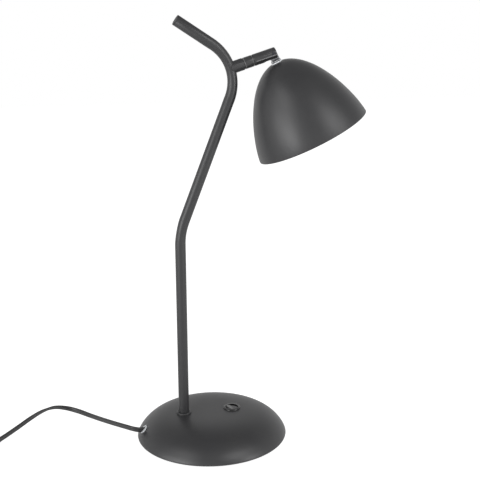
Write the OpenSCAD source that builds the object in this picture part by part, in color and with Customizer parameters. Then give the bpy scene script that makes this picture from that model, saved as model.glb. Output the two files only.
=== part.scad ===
// Desk lamp with a domed base, a twice-bent tube stem and a bell shade on a
// swivel and tilt knuckle. The lamp stands in the XZ plane: the knuckle points
// to +X, the cord leaves at -X, and the origin is on the table under the base.

/* [Base] */
// Width of the base across its widest line
base_d = 174; // [160:1:200]
// Height of the cover's crown over the table
base_h = 31; // [30:0.5:38]
// Height of the base's widest line over the table
rim_z = 4; // [3.5:0.5:7]
// Sheet thickness of the cover
cover_wall = 1.2; // [0.8:0.1:1.6]
// How far the cover's lower edge is turned in
lip_in = 6.5; // [5:0.5:9]
// How full the dome is towards its rim, as an exponent
dome_full = 4.6; // [3.5:0.1:6]
// How steep the dome's shoulder is, as an exponent
dome_steep = 1.28; // [1.1:0.01:1.6]
// Thickness of the soft pad under the base
pad_t = 1.5; // [1:0.1:2.5]
// Thickness of the steel plate that closes the base
plate_t = 1.2; // [0.8:0.1:2]
// Height of the cast weight's ring
weight_h = 13; // [8:0.5:15]
// Clearance from the cast weight's upper edge to the inside of the cover
weight_gap = 4.8; // [3:0.1:10]

/* [Stem] */
// Outer width of the stem tube
tube_d = 12; // [10:0.5:14]
// Wall thickness of the stem tube
tube_wall = 1; // [0.8:0.1:1.5]
// Where the stem stands, from the base's centre
foot_x = -33; // [-38:0.5:-28]
// Height at which the stem's two lower legs would meet
lower_corner_z = 247; // [220:1:280]
// How far the middle leg leans from upright
lean_out = 21.4; // [15:0.1:28]
// Length of the middle leg between its two corners
middle_leg = 197; // [180:1:230]
// How far the free leg leans back from upright
lean_back = 57; // [45:0.5:65]
// Length of the free leg from its corner
free_leg = 85; // [76:1:120]
// Bend radius of the lower bend, on the tube's centre line
lower_bend_r = 70; // [50:1:90]
// Bend radius of the upper bend, on the tube's centre line
upper_bend_r = 50; // [44:1:56]
// Width of the flange ring round the stem's foot
collar_d = 17; // [15.5:0.5:20]
// Thickness of the flange ring round the stem's foot
collar_t = 2.5; // [1.5:0.1:4]
// Thread width of the stem's clamping nipple
nipple_d = 9.9; // [9:0.1:9.9]

/* [Knuckle] */
// Width of the stub that is brazed to the bend
stub_d = 13.5; // [12.5:0.1:16]
// Length of the stub beyond the tube's surface
stub_len = 9.6; // [9:0.1:16]
// Width of the knuckle's collar and sleeve
barrel_d = 12.7; // [12.5:0.1:14]
// Length of the fixed collar
barrel_collar_len = 10.8; // [8:0.1:14]
// Length of the turning sleeve
sleeve_len = 26.3; // [26:0.1:32]
// How far the tilt pin lies behind the sleeve's free end
pin_back = 3.8; // [3.6:0.1:5]
// Width of the tilt pin
pin_d = 4; // [3:0.1:4.2]
// Width of the sleeve's slot
slot_w = 6.2; // [5.8:0.1:6.6]
// Width of the tongue across its flats, seen from the side
tongue_w = 9; // [8.4:0.1:9.2]
// Angle of the shade's axis from the knuckle's axis at rest
tilt_rest = 81.5; // [60:0.5:90]
// How far the sleeve is turned at rest, mouth towards the front
swivel_rest = -3.5; // [-20:0.5:20]
// Travel of the sleeve each way from rest
swivel_travel = 160; // [120:5:160]

/* [Shade] */
// Width of the shade's mouth
shade_d = 131; // [120:1:160]
// Depth of the bell from its rounded top to its mouth
shade_depth = 91.5; // [86:0.5:120]
// Sheet thickness of the shade
shade_wall = 1; // [0.6:0.1:1.4]
// Distance from the tilt pin to the bell's rounded top
shade_drop = 9.9; // [9.2:0.1:12]
// Radius of the flat that is pressed in the shade's top
shade_flat_r = 8.6; // [8.4:0.1:11]
// How round the bell's crown is, as an exponent
bell_crown = 2.05; // [1.8:0.01:2.4]
// How soon the bell's side turns straight, as an exponent
bell_side = 1.35; // [1.2:0.01:1.7]
// Thread width of the tongue's hollow screw
screw_d = 7.9; // [6.9:0.1:8.4]

/* [Lampholder and bulb] */
// Outer width of the lampholder
holder_d = 27; // [25:0.5:30]
// Width of the bulb's screw cap
bulb_cap_d = 13.7; // [13:0.1:14]
// Width of the bulb's globe
bulb_d = 45; // [38:1:50]
// Length of the bulb from its contact to its globe's end
bulb_len = 68; // [62:1:76]

/* [Switch] */
// Distance of the switch from the base's centre
switch_x = 24; // [20:0.5:32]
// Outer width of the switch's bezel
bezel_d = 20; // [19:0.5:24]
// Height of the bezel over its seat
bezel_t = 1.8; // [1.2:0.1:3]
// Width of the rocker
rocker_d = 13.6; // [12:0.1:13.8]
// Tilt of the rocker each way from level
rocker_tilt = 10; // [6:1:12]

/* [Cord] */
// Width of the flat cord
cord_w = 5.8; // [5.2:0.1:5.9]
// Thickness of the flat cord
cord_t = 3.4; // [3:0.1:3.5]
// Distance from turn to turn in the coil
coil_pitch = 6.4; // [6.4:0.1:7.2]
// Distance from layer to layer in the coil
coil_layer = 4; // [4:0.1:5]
// Radius of the coil's innermost turn
coil_inner_r = 23.2; // [18:0.1:26]
// Width of the plug
plug_w = 35; // [33:0.5:37]
// Thickness of the plug
plug_t = 13.6; // [12:0.1:15]

/* [Clearances] */
// Radial clearance of a running fit
fit_gap = 0.05; // [0.03:0.01:0.08]
// Radial clearance of a screw or tube in its hole
hole_gap = 0.15; // [0.1:0.05:0.3]

/* [Hidden] */
$fn = 64;
curve_steps = 24;
small = 0.01;
bend_lap = 1;
bend_thin = 0.06;

// Base levels
base_r = base_d / 2;
lip_r = base_r - lip_in;
plate_z = pad_t;
floor_z = plate_z + plate_t;
plate_r = lip_r - 0.3;
pad_r = plate_r - 1.2;
plate_screw_d = 4;
plate_head_d = 7;
plate_head_t = 1.2;
plate_screw_len = 10.5;

// Dome surface: the height over the table at a radius, and back again
function dome_z(r, inset) = rim_z + (base_h - inset - rim_z)
    * pow(1 - pow(r / (base_r - inset), dome_full), 1 / dome_steep);
function dome_r(z) = base_r
    * pow(1 - pow((z - rim_z) / (base_h - rim_z), dome_steep), 1 / dome_full);
function dome_curve(inset) = [for (i = [0 : curve_steps])
    let (t = 90 * i / curve_steps)
    [(base_r - inset) * pow(cos(t), 2 / dome_full),
     rim_z + (base_h - inset - rim_z) * pow(sin(t), 2 / dome_steep)]];
function lip_curve(inset) = [for (i = [0 : 5])
    let (t = 15 * i)
    [lip_r + (base_r - inset - lip_r) * sin(t),
     rim_z - (rim_z - pad_t - inset) * cos(t)]];

// Cast weight: it fills the dome's inside up to a named clearance
weight_top_z = floor_z + weight_h;
weight_r = (base_r - cover_wall) * pow(1 - pow((weight_top_z - rim_z)
    / (base_h - cover_wall - rim_z), dome_steep), 1 / dome_full) - weight_gap;
screw_ring_r = weight_r - 11;

// Stem foot
tube_r = tube_d / 2;
bore_r = tube_r - tube_wall;
seat_z = dome_z(abs(foot_x) + collar_d / 2, 0);
boss_top_r = 10;
boss_top_z = dome_z(abs(foot_x) + boss_top_r, cover_wall) - 0.05;
nut_pocket_r = 11.5;
nut_pocket_z = 17;
foot_washer_t = 1;
foot_nut_t = 4;
foot_nut_r = 9.2;
nipple_low_z = nut_pocket_z - foot_washer_t - foot_nut_t - 0.5;
nipple_in_tube = 15;
nipple_bore_d = 7;

// Stem corners and bends in the XZ plane
turn_back = lean_out + lean_back;
arm_angle = (lean_back - lean_out) / 2;
leg_dir = [sin(lean_out), cos(lean_out)];
free_dir = [-sin(lean_back), cos(lean_back)];
lower_cut = lower_bend_r * tan(lean_out / 2);
upper_cut = upper_bend_r * tan(turn_back / 2);
lower_corner = [foot_x, lower_corner_z];
upper_corner = lower_corner + middle_leg * leg_dir;
lower_centre = lower_corner + [lower_bend_r, -lower_cut];
upper_centre = upper_corner - upper_cut * leg_dir
    + upper_bend_r * [-cos(lean_out), sin(lean_out)];
middle_start = lower_corner + lower_cut * leg_dir;
free_start = upper_corner + upper_cut * free_dir;

// Knuckle stations along its axis, from the upper bend's centre
stub_end = upper_bend_r + tube_r + stub_len;
collar_end = stub_end + barrel_collar_len;
swivel_washer_t = 1;
sleeve_start = collar_end + swivel_washer_t;
sleeve_end = sleeve_start + sleeve_len;
pivot_at = sleeve_end - pin_back;
barrel_r = barrel_d / 2;
shank_r = 4.5;
shank_len = 8;
spigot_r = 4.3;
spigot_len = 10.5;
wire_r = 2.3;
cable_r = 2.15;
groove_r = 3.4;
groove_w = 2;
stop_at = sleeve_start + 4.5;
stop_tip_r = 0.8;
stop_screw_r = 1.5;
stop_half = 180 - swivel_travel - asin(stop_tip_r / groove_r) - 1.5;
slot_back = 9;
slot_roof = 4.8;
end_chamfer = 0.8;
tilt_washer_t = 0.35;
tongue_t = slot_w - 2 * tilt_washer_t - 0.1;
pin_len = 12;
seam_w = 0.8;
seam_depth = 0.4;
seam_angle = 20;
seam_start = sleeve_start + 3;

// Levels below the tilt pin, along the shade's axis
function bell_depth(r, inset) = (shade_depth - inset)
    * (1 - pow(1 - pow(r / (shade_d / 2 - inset), bell_crown), 1 / bell_side));
function bell_curve(inset, from_r) =
    let (half = shade_d / 2 - inset,
         t0 = asin(pow(from_r / half, bell_crown / 2)))
    [for (i = [0 : curve_steps])
        let (t = t0 + (90 - t0) * i / curve_steps)
        [half * pow(sin(t), 2 / bell_crown),
         -(shade_drop + inset
           + (shade_depth - inset) * (1 - pow(cos(t), 2 / bell_side)))]];
shade_top = shade_drop + bell_depth(shade_flat_r, 0);
shade_washer_t = 1;
shade_washer_d = 12.4;
shoulder_low = shade_top - shade_washer_t;
shoulder_t = 0.6;
shoulder_mid = shoulder_low - shoulder_t / 2;
shoulder_r = 5.2;
thread_hole_r = screw_d / 2 + hole_gap;
inner_washer_top = shade_top + shade_wall;
inner_washer_t = 1;
nut_top = inner_washer_top + inner_washer_t;
shade_nut_t = 3;
shade_nut_r = 7.5;
holder_top = nut_top + shade_nut_t + 0.15;
screw_end = holder_top + 5.5;
core_top = holder_top + 9.2;
core_t = 4.5;
contact_t = 2;
bulb_top = core_top + core_t + contact_t;
skirt_end = bulb_top + 16;
holder_r = holder_d / 2;
shell_r = bulb_cap_d / 2 + 0.7;
shell_wall = 0.4;
bulb_tip_t = 0.8;
bulb_insulator_t = 1.4;
bulb_cap_len = 15.3;
glass_top = bulb_top + bulb_tip_t + bulb_insulator_t + bulb_cap_len;
globe_r = bulb_d / 2;
globe_centre = bulb_top + bulb_len - globe_r;
glass_wall = 0.8;

// Switch levels
switch_seat_z = dome_z(switch_x + bezel_d / 2, 0);
rocker_axis_z = switch_seat_z - 1;
cup_r = rocker_d / 2 + 1.9;
cup_bore_r = rocker_d / 2 + 1;
cup_depth = 14;
cup_floor = 1.5;
tab_t = 0.8;
tab_w = 4.8;
tab_len = 7;
tab_y = 4;

// Wiring in the base
block_x = [-14, 4];
block_half_y = 9;
block_top_z = 13;
lead_z = 7;
lead_r = 1.1;
cable_low_z = 6;
cable_turn_r = 7;
cable_leave = arm_angle - 8;
wire_way = 10;
channel_half_w = 11;
clamp_slot_z = 6.8;
clamp_top_z = 17;
clamp_screw_z = 15;
clamp_half_y = 6;

// Cord exit: where the bushing's axis meets the cover, and where the cord's two parts meet
exit_z = 15;
exit_r = dome_r(exit_z);
exit_lean = atan(dome_r(exit_z - 0.5) - dome_r(exit_z + 0.5));
bushing_neck_r = 4.7;
bushing_flange_r = 5.6;
bushing_flange_t = 1.3;
bushing_lip_r = 5.1;
bushing_slot = [8.6, 4.2];
cord_start_x = -exit_r - bushing_flange_t - 0.1;
cord_start_dir = [-0.962, 0, 0.275];
clamp_x = [-exit_r + 14, -exit_r + 22];

// Route of the cord's free stretch, along X from its exit and across and up from the
// table, with its roll: 90 stands on edge, 0 lies flat
route_from_exit = [
    [0, 0, 15], [5.5, -2, 16.3], [12, 0, 17.5], [18.5, 6.5, 17.5], [30.5, 25.5, 14.5],
    [43, 47, 11], [56, 69, 8], [69.5, 86.5, 7.5], [83.5, 93.5, 10], [98, 91, 13.5],
    [112.5, 84, 13], [126.5, 76, 9], [140.5, 63, 5.5], [154.5, 47, 3.6], [161.5, 38, 3.3],
    [168.5, 24, 2.9], [173.5, 6, 2.1], [174.5, -8, 1.7], [174.5, -14.2, 1.7]
];
cord_route = [for (p = route_from_exit) [cord_start_x - p[0], p[1], p[2]]];
cord_roll = [
    90, 90, 90, 90, 90, 90, 85, 65, 35, 0, -50, -80, -90, -90, -95, -120, -165, -180, -180
];

// Route of the cord inside the base, from its exit to the terminal block
tail_route = [
    [cord_start_x, 0, 15], [cord_start_x + 3.5, 0, 14], [cord_start_x + 9.5, 0, 12],
    [clamp_x[0], 0, 10.5], [clamp_x[1], 0, 10],
    [(clamp_x[1] + foot_x - 9) / 2, -3, 8], [foot_x - 9, -6, 6.2], [foot_x + 3, -6, 5.8],
    [block_x[0] - 6, -6, 5.8], [block_x[0], -6, 5.8]
];
tail_roll = [90, 90, 90, 90, 90, 50, 0, 0, 0, 0];

// Coil of the cord's put-away length: spirals in on the table and out again on top
coil_centre = [cord_start_x - 218.5, -20];
coil_turns = 6.5;
coil_low_z = cord_t / 2;
coil_rings = 24;
coil_outer_r = coil_inner_r + coil_pitch * coil_turns / 2;
plug_axis_z = plug_t / 2;
plug_start_y = coil_centre[1] + 22;
plug_x = coil_centre[0] - coil_outer_r;
plug_tail_len = 20;
plug_body_len = 27;
pin_gap = 19;
pin_len_out = 19;
pin_sleeve_len = 10;

// Vector helpers
function unit(v) = v / norm(v);
function mix(a, b, f) = a + (b - a) * f;

// A smooth curve through hand-chosen points, with steps pieces between two of them
function curve_point(p, i, f) =
    let (n = len(p) - 1,
         a = p[max(i - 1, 0)], b = p[i], c = p[min(i + 1, n)], d = p[min(i + 2, n)])
    0.5 * (2 * b + (c - a) * f + (2 * a - 5 * b + 4 * c - d) * f * f
           + (3 * b - a - 3 * c + d) * f * f * f);
function smooth_route(p, steps) = concat(
    [for (i = [0 : len(p) - 2]) for (k = [0 : steps - 1]) curve_point(p, i, k / steps)],
    [p[len(p) - 1]]);
function smooth_roll(r, steps) = concat(
    [for (i = [0 : len(r) - 2]) for (k = [0 : steps - 1]) mix(r[i], r[i + 1], k / steps)],
    [r[len(r) - 1]]);

// One ring of a flat cord: corners round an oval, square to the route's direction
function heading(p, i) = unit(p[min(i + 1, len(p) - 1)] - p[max(i - 1, 0)]);
function cord_ring(centre, dir, roll, sides) =
    let (across = unit(cross(dir, [0, 0, 1])),
         up = cross(across, dir),
         wide = across * cos(roll) + up * sin(roll),
         thin = up * cos(roll) - across * sin(roll))
    [for (k = [0 : sides - 1])
        let (a = 360 * k / sides + (sides == 8 ? 22.5 : 0),
             grow = sides == 8 ? 1 / cos(22.5) : 1)
        centre + wide * (cord_w / 2) * grow * cos(a)
               + thin * (cord_t / 2) * (sides == 8 ? grow : 1 / sin(60)) * sin(a)];

// One ring of a round cable that stays in the XZ plane, and points round a bend there
function round_ring(centre, dir, r) =
    let (side = cross([0, 1, 0], dir))
    [for (k = [0 : 11]) centre + r * (side * cos(30 * k) - [0, 1, 0] * sin(30 * k))];
function bend_points(centre, r, from, to) =
    let (steps = ceil(abs(to - from) / 12))
    [for (i = [0 : steps])
        let (a = from + (to - from) * i / steps) centre + r * [cos(a), sin(a)]];

// A closed tube through rings of equally many corners
module swept(rings) {
    n = len(rings[0]);
    m = len(rings);
    points = [for (ring = rings) for (corner = ring) corner];
    sides = [for (i = [0 : m - 2]) for (k = [0 : n - 1]) for (face = [
        [i * n + k, i * n + (k + 1) % n, (i + 1) * n + k],
        [i * n + (k + 1) % n, (i + 1) * n + (k + 1) % n, (i + 1) * n + k]]) face];
    ends = [for (k = [1 : n - 2]) for (face = [
        [0, k + 1, k],
        [(m - 1) * n, (m - 1) * n + k, (m - 1) * n + k + 1]]) face];
    polyhedron(points, concat(sides, ends));
}

// The coil's centre line at u turns from its start, turning clockwise from above
function coil_rise(u) =
    let (f = min(max((u - coil_turns / 2) * 2 + 0.5, 0), 1))
    coil_low_z + coil_layer * f * f * (3 - 2 * f);
function coil_point(u) =
    let (r = coil_inner_r + coil_pitch * abs(u - coil_turns / 2))
    [coil_centre[0] + r * cos(-360 * u), coil_centre[1] + r * sin(-360 * u), coil_rise(u)];
coil_lead_in = [[coil_centre[0] + coil_outer_r, coil_centre[1] + cord_w, coil_low_z]];
coil_lead_out = [for (s = [4, 9, 14, 18, 22]) [plug_x, coil_centre[1] + s,
    mix(coil_low_z + coil_layer, plug_axis_z, min(max((s - 2) / 14, 0), 1))]];
coil_line = concat(coil_lead_in,
    [for (i = [0 : coil_turns * coil_rings]) coil_point(i / coil_rings)], coil_lead_out);
function coil_heading(i) = i <= 1 ? [0, -1, 0]
    : i >= len(coil_line) - 6 ? [0, 1, 0] : heading(coil_line, i);
coil_ring_list = [for (i = [0 : len(coil_line) - 1])
    cord_ring(coil_line[i], coil_heading(i), 0, 6)];

// Least gap between turns, from ring corners and edge middles on the same bearing
function ring_points(ring) = [for (k = [0 : 5]) for (f = [0, 0.5])
    mix(ring[k], ring[(k + 1) % 6], f)];
function least_coil_gap() = min([for (i = [1 : coil_turns * coil_rings + 1])
    for (j = [i + coil_rings : coil_rings : coil_turns * coil_rings + 1])
        for (a = ring_points(coil_ring_list[i])) for (b = ring_points(coil_ring_list[j]))
            norm(a - b)]);

// Placement frames
module at_foot() {
    translate([foot_x, 0, 0]) children();
}
module at_switch() {
    translate([switch_x, 0, 0]) children();
}
module along_arm() {
    translate([upper_centre[0], 0, upper_centre[1]]) rotate([0, -arm_angle, 0]) children();
}
module in_sleeve() {
    along_arm() translate([pivot_at, 0, 0]) rotate([swivel_rest, 0, 0]) children();
}
module in_shade() {
    in_sleeve() rotate([0, tilt_rest - 90, 0]) children();
}
module at_exit() {
    translate([-exit_r, 0, exit_z]) rotate([0, exit_lean - 90, 0]) children();
}
module at_plug() {
    translate([plug_x, plug_start_y, plug_axis_z]) rotate([-90, 0, 0]) children();
}

// A round bar or tube laid along the knuckle's own axis
module axial(from, to, r, bore = 0) {
    translate([from, 0, 0]) rotate([0, 90, 0]) difference() {
        cylinder(r = r, h = to - from);
        if (bore > 0) translate([0, 0, -small]) cylinder(r = bore, h = to - from + 2 * small);
    }
}
// A straight bar in the XZ plane, leaning from upright towards +X
module straight_bar(start, lean, length, r, before = 0) {
    translate([start[0], 0, start[1]]) rotate([0, lean, 0]) translate([0, 0, -before])
        cylinder(r = r, h = length + before);
}
// A bent bar in the XZ plane, between two bearings round its centre
module bent_bar(centre, bend_r, from, to, r) {
    translate([centre[0], 0, centre[1]]) rotate([90, 0, 0]) rotate([0, 0, from])
        rotate_extrude(angle = to - from) translate([bend_r, 0]) circle(r = r);
}
// A bar along the stem's centre line: the straights reach a little into the bends,
// which are a hair thinner, as bent tube is
module stem_bar(r, low_z, top_cut, bend_end) {
    straight_bar([foot_x, low_z], 0, lower_centre[1] - low_z + bend_lap, r);
    bent_bar(lower_centre, lower_bend_r, 180 - lean_out, 180, r - bend_thin);
    straight_bar(middle_start, lean_out, middle_leg - lower_cut - upper_cut + bend_lap, r,
        bend_lap);
    bent_bar(upper_centre, upper_bend_r, -lean_out, bend_end, r - bend_thin);
    if (top_cut > 0) straight_bar(free_start, -lean_back, top_cut, r, bend_lap);
}
module ring(low, high, r, bore) {
    translate([0, 0, low]) difference() {
        cylinder(r = r, h = high - low);
        translate([0, 0, -small]) cylinder(r = bore, h = high - low + 2 * small);
    }
}
module hex_nut(low, high, r, bore) {
    translate([0, 0, low]) difference() {
        cylinder(r = r, h = high - low, $fn = 6);
        translate([0, 0, -small]) cylinder(r = bore, h = high - low + 2 * small);
    }
}
module at_plate_screws() {
    for (a = [0, 120, 240]) rotate([0, 0, a]) translate([screw_ring_r, 0, 0]) children();
}

// Base
module base_cover() {
    color("#3a3a3c") difference() {
        rotate_extrude() polygon(concat(
            lip_curve(0), dome_curve(0),
            [for (i = [curve_steps : -1 : 0]) dome_curve(cover_wall)[i]],
            [for (i = [5 : -1 : 0]) lip_curve(cover_wall)[i]]));
        at_foot() cylinder(r = nipple_d / 2 + hole_gap, h = base_h + 1);
        at_foot() translate([0, 0, seat_z]) cylinder(r = collar_d / 2 + 0.1, h = 3);
        at_switch() cylinder(r = cup_r + hole_gap, h = base_h + 1);
        at_switch() translate([0, 0, switch_seat_z]) cylinder(r = bezel_d / 2 + 0.1, h = 3);
        at_exit() translate([0, 0, -5]) cylinder(r = bushing_neck_r + hole_gap, h = 10);
    }
}
module base_weight() {
    color("#4d4d4f") difference() {
        union() {
            translate([0, 0, floor_z]) cylinder(r = weight_r, h = weight_h);
            at_foot() translate([0, 0, weight_top_z])
                cylinder(r1 = 16, r2 = boss_top_r, h = boss_top_z - weight_top_z);
        }
        // Nut pocket under the stem, and the nipple's hole above it
        at_foot() translate([0, 0, floor_z - 1])
            cylinder(r = nut_pocket_r, h = nut_pocket_z - floor_z + 1);
        at_foot() cylinder(r = nipple_d / 2 + hole_gap, h = base_h);
        // Window for the terminal block and the switch
        translate([-18, -22, floor_z - 1]) cube([68, 44, weight_h + 12]);
        translate([foot_x - wire_way, -wire_way, floor_z - 1])
            cube([3 * wire_way, 2 * wire_way, cable_low_z + 5]);
        // Channel for the cord and its clamp
        translate([-weight_r - 1, -channel_half_w, floor_z - 1])
            cube([weight_r + foot_x - 8, 2 * channel_half_w, weight_h + 2]);
        at_plate_screws() translate([0, 0, floor_z - 1])
            cylinder(r = plate_screw_d / 2 + fit_gap, h = plate_screw_len);
    }
}
module base_plate() {
    color("#6b6b6e") difference() {
        translate([0, 0, plate_z]) cylinder(r = plate_r, h = plate_t);
        at_plate_screws() cylinder(r = plate_screw_d / 2 + hole_gap, h = floor_z + 1);
    }
}
module base_pad() {
    color("#1d1d1f") difference() {
        cylinder(r = pad_r, h = pad_t);
        at_plate_screws() translate([0, 0, -1]) cylinder(r = plate_head_d / 2 + 0.5, h = pad_t + 2);
    }
}
module plate_screws() {
    color("#9a9a9c") at_plate_screws() {
        translate([0, 0, plate_z - plate_head_t]) cylinder(d = plate_head_d, h = plate_head_t);
        translate([0, 0, plate_z]) cylinder(d = plate_screw_d, h = plate_screw_len - 1);
    }
}

// Stem
module stem_tube() {
    color("#39393b") difference() {
        stem_bar(tube_r, seat_z, free_leg - upper_cut, lean_back);
        stem_bar(bore_r, seat_z - 1, free_leg - upper_cut + 1, lean_back);
        along_arm() axial(upper_bend_r, upper_bend_r + tube_r + 2, 4);
    }
}
module foot_collar() {
    color("#3c3c3e") at_foot() difference() {
        union() {
            translate([0, 0, seat_z]) cylinder(d = collar_d, h = collar_t - 0.6);
            translate([0, 0, seat_z + collar_t - 0.6])
                cylinder(d1 = collar_d, d2 = collar_d - 1.2, h = 0.6);
        }
        cylinder(r = tube_r + fit_gap, h = base_h + 10);
    }
}
module foot_nipple() {
    color("#b9a15a") at_foot()
        ring(nipple_low_z, seat_z + nipple_in_tube, nipple_d / 2, nipple_bore_d / 2);
}
module foot_washer() {
    color("#a9a9ab") at_foot()
        ring(nut_pocket_z - foot_washer_t, nut_pocket_z, 9.5, nipple_d / 2 + hole_gap);
}
module foot_nut() {
    color("#a9a9ab") at_foot()
        hex_nut(nut_pocket_z - foot_washer_t - foot_nut_t, nut_pocket_z - foot_washer_t,
            foot_nut_r, nipple_d / 2 + fit_gap);
}
module end_plug() {
    color("#2c2c2e") translate([free_start[0], 0, free_start[1]]) rotate([0, -lean_back, 0])
        translate([0, 0, free_leg - upper_cut]) {
            translate([0, 0, -7]) cylinder(r = bore_r - fit_gap, h = 7);
            cylinder(r = tube_r, h = 0.8);
            translate([0, 0, 0.8]) cylinder(r1 = tube_r, r2 = tube_r - 0.5, h = 0.5);
        }
}
module lamp_cable() {
    turns = concat(
        [[block_x[0], cable_low_z]],
        bend_points([foot_x + cable_turn_r, cable_low_z + cable_turn_r], cable_turn_r,
            270, 180),
        bend_points(lower_centre, lower_bend_r, 180, 180 - lean_out),
        bend_points(upper_centre, upper_bend_r, -lean_out, cable_leave),
        [for (x = [upper_bend_r + 5, upper_bend_r + 9, sleeve_start + spigot_len - 1])
            upper_centre + x * [cos(arm_angle), sin(arm_angle)]]);
    line = [for (t = turns) [t[0], 0, t[1]]];
    color("#d8d8d8") swept([for (i = [0 : len(line) - 1])
        round_ring(line[i], heading(line, i), cable_r)]);
}

// Knuckle
module arm_stub() {
    color("#2f2f31") difference() {
        along_arm() axial(upper_bend_r, stub_end, stub_d / 2);
        bent_bar(upper_centre, upper_bend_r, -lean_out, lean_back, tube_r - bend_thin);
        along_arm() axial(upper_bend_r - 1, stub_end + 1, shank_r + fit_gap);
    }
}
module swivel_collar() {
    color("#454547") along_arm() difference() {
        union() {
            axial(stub_end - shank_len, stub_end, shank_r);
            axial(stub_end, collar_end, barrel_r);
            axial(collar_end, sleeve_start + spigot_len, spigot_r);
        }
        axial(stub_end - shank_len - 1, sleeve_start + spigot_len + 1, wire_r);
        // Stop groove: open all round but for the lug that ends the travel
        translate([stop_at - groove_w / 2, 0, 0]) rotate([0, 90, 0])
            rotate([0, 0, 180 + swivel_rest + stop_half])
                rotate_extrude(angle = 360 - 2 * stop_half)
                    translate([groove_r, 0]) square([spigot_r - groove_r + 1, groove_w]);
    }
}
module swivel_washer() {
    color("#8d8d8f") along_arm()
        axial(collar_end, sleeve_start, barrel_r - 0.25, spigot_r + fit_gap);
}
module swivel_sleeve() {
    color("#48484a") in_sleeve() difference() {
        translate([-pivot_at, 0, 0]) {
            axial(sleeve_start, sleeve_end - end_chamfer, barrel_r);
            translate([sleeve_end - end_chamfer, 0, 0]) rotate([0, 90, 0])
                cylinder(r1 = barrel_r, r2 = barrel_r - end_chamfer, h = end_chamfer);
        }
        translate([-pivot_at, 0, 0])
            axial(sleeve_start - 1, sleeve_start + spigot_len + 0.5, spigot_r + fit_gap);
        // Slot for the tongue, open below and at the end, with a round inner end
        translate([-slot_back, -slot_w / 2, -barrel_r - 1])
            cube([slot_back + pin_back + 1, slot_w, barrel_r + 1 + slot_roof]);
        translate([-slot_back, 0, -barrel_r - 1])
            cylinder(d = slot_w, h = barrel_r + 1 + slot_roof);
        rotate([90, 0, 0]) translate([0, 0, -10]) cylinder(r = pin_d / 2 + fit_gap, h = 20);
        translate([stop_at - pivot_at, 0, -barrel_r - 1])
            cylinder(r = stop_screw_r + fit_gap, h = barrel_r);
        // Fine seam along each cheek
        for (side = [0, 180]) rotate([side + (side == 0 ? -seam_angle : seam_angle), 0, 0])
            translate([seam_start - pivot_at, barrel_r - seam_depth, -seam_w / 2])
                cube([sleeve_len, 2, seam_w]);
    }
}
module swivel_stop_screw() {
    color("#5a5a5c") in_sleeve() translate([stop_at - pivot_at, 0, 0]) {
        translate([0, 0, -barrel_r + 0.4]) cylinder(r = stop_screw_r, h = barrel_r - spigot_r - 0.6);
        translate([0, 0, -spigot_r - 0.2]) cylinder(r = stop_tip_r, h = spigot_r - groove_r);
    }
}
module tilt_pin() {
    color("#5a5a5c") in_sleeve() translate([0, pin_len / 2, 0]) rotate([90, 0, 0])
        cylinder(d = pin_d, h = pin_len);
}
module tilt_washers() {
    color("#b0b0b2") in_sleeve() for (side = [-1, 1])
        translate([0, side * (tongue_t / 2 + 0.025 + tilt_washer_t / 2), 0]) rotate([90, 0, 0])
            translate([0, 0, -tilt_washer_t / 2]) ring(0, tilt_washer_t, 4, pin_d / 2 + fit_gap);
}
module tilt_tongue() {
    color("#a2a2a4") in_shade() difference() {
        union() {
            translate([0, tongue_t / 2, 0]) rotate([90, 0, 0])
                cylinder(d = tongue_w, h = tongue_t);
            translate([-tongue_w / 2, -tongue_t / 2, -shoulder_mid])
                cube([tongue_w, tongue_t, shoulder_mid]);
            translate([0, 0, -shoulder_low]) cylinder(r = shoulder_r, h = shoulder_t);
            translate([0, 0, -screw_end]) cylinder(d = screw_d, h = screw_end - shoulder_mid);
        }
        rotate([90, 0, 0]) translate([0, 0, -5]) cylinder(r = pin_d / 2 + fit_gap, h = 10);
        translate([0, 0, -screw_end - 1]) cylinder(r = 1.8, h = screw_end + 1 - 4.6);
        translate([-6, 0, -5.6]) rotate([0, 90, 0]) cylinder(r = 1.5, h = 6);
    }
}

// Shade
module shade_washer() {
    color("#e6e8ea") in_shade()
        ring(-shade_top, -shoulder_low, shade_washer_d / 2, thread_hole_r);
}
module shade() {
    outer = bell_curve(0, shade_flat_r);
    inner = bell_curve(shade_wall, shade_flat_r - 0.4);
    color("#38383a") in_shade() rotate_extrude() polygon(concat(
        [[thread_hole_r, -shade_top]], outer,
        [for (i = [curve_steps : -1 : 0]) [inner[i][0], min(inner[i][1], -inner_washer_top)]],
        [[thread_hole_r, -inner_washer_top]]));
}
module inner_washer() {
    color("#a9a9ab") in_shade() ring(-nut_top, -inner_washer_top, 8, thread_hole_r);
}
module shade_nut() {
    color("#a9a9ab") in_shade()
        hex_nut(-nut_top - shade_nut_t, -nut_top, shade_nut_r, screw_d / 2 + fit_gap);
}
module holder_cap() {
    hub = screw_d / 2 + fit_gap;
    color("#242426") in_shade() rotate_extrude() polygon([
        [hub, -holder_top], [hub + 3, -holder_top], [hub + 3, -holder_top - 2.5],
        [holder_r - 3, -holder_top - 4.5], [holder_r - 0.6, -holder_top - 7],
        [holder_r, -holder_top - 9.5], [holder_r, -core_top - core_t - 2],
        [holder_r - 1.6, -core_top - core_t - 2], [holder_r - 1.6, -core_top + 0.1],
        [holder_r - 4, -holder_top - 6.5], [hub, -holder_top - 6]]);
}
module holder_core() {
    color("#e9e7e0") in_shade() difference() {
        translate([0, 0, -core_top - core_t]) cylinder(r = holder_r - 1.8, h = core_t);
        for (side = [-1, 1]) translate([0, side * 6, -core_top - core_t - 1])
            cylinder(r = 1.4, h = core_t + 2);
    }
}
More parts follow.
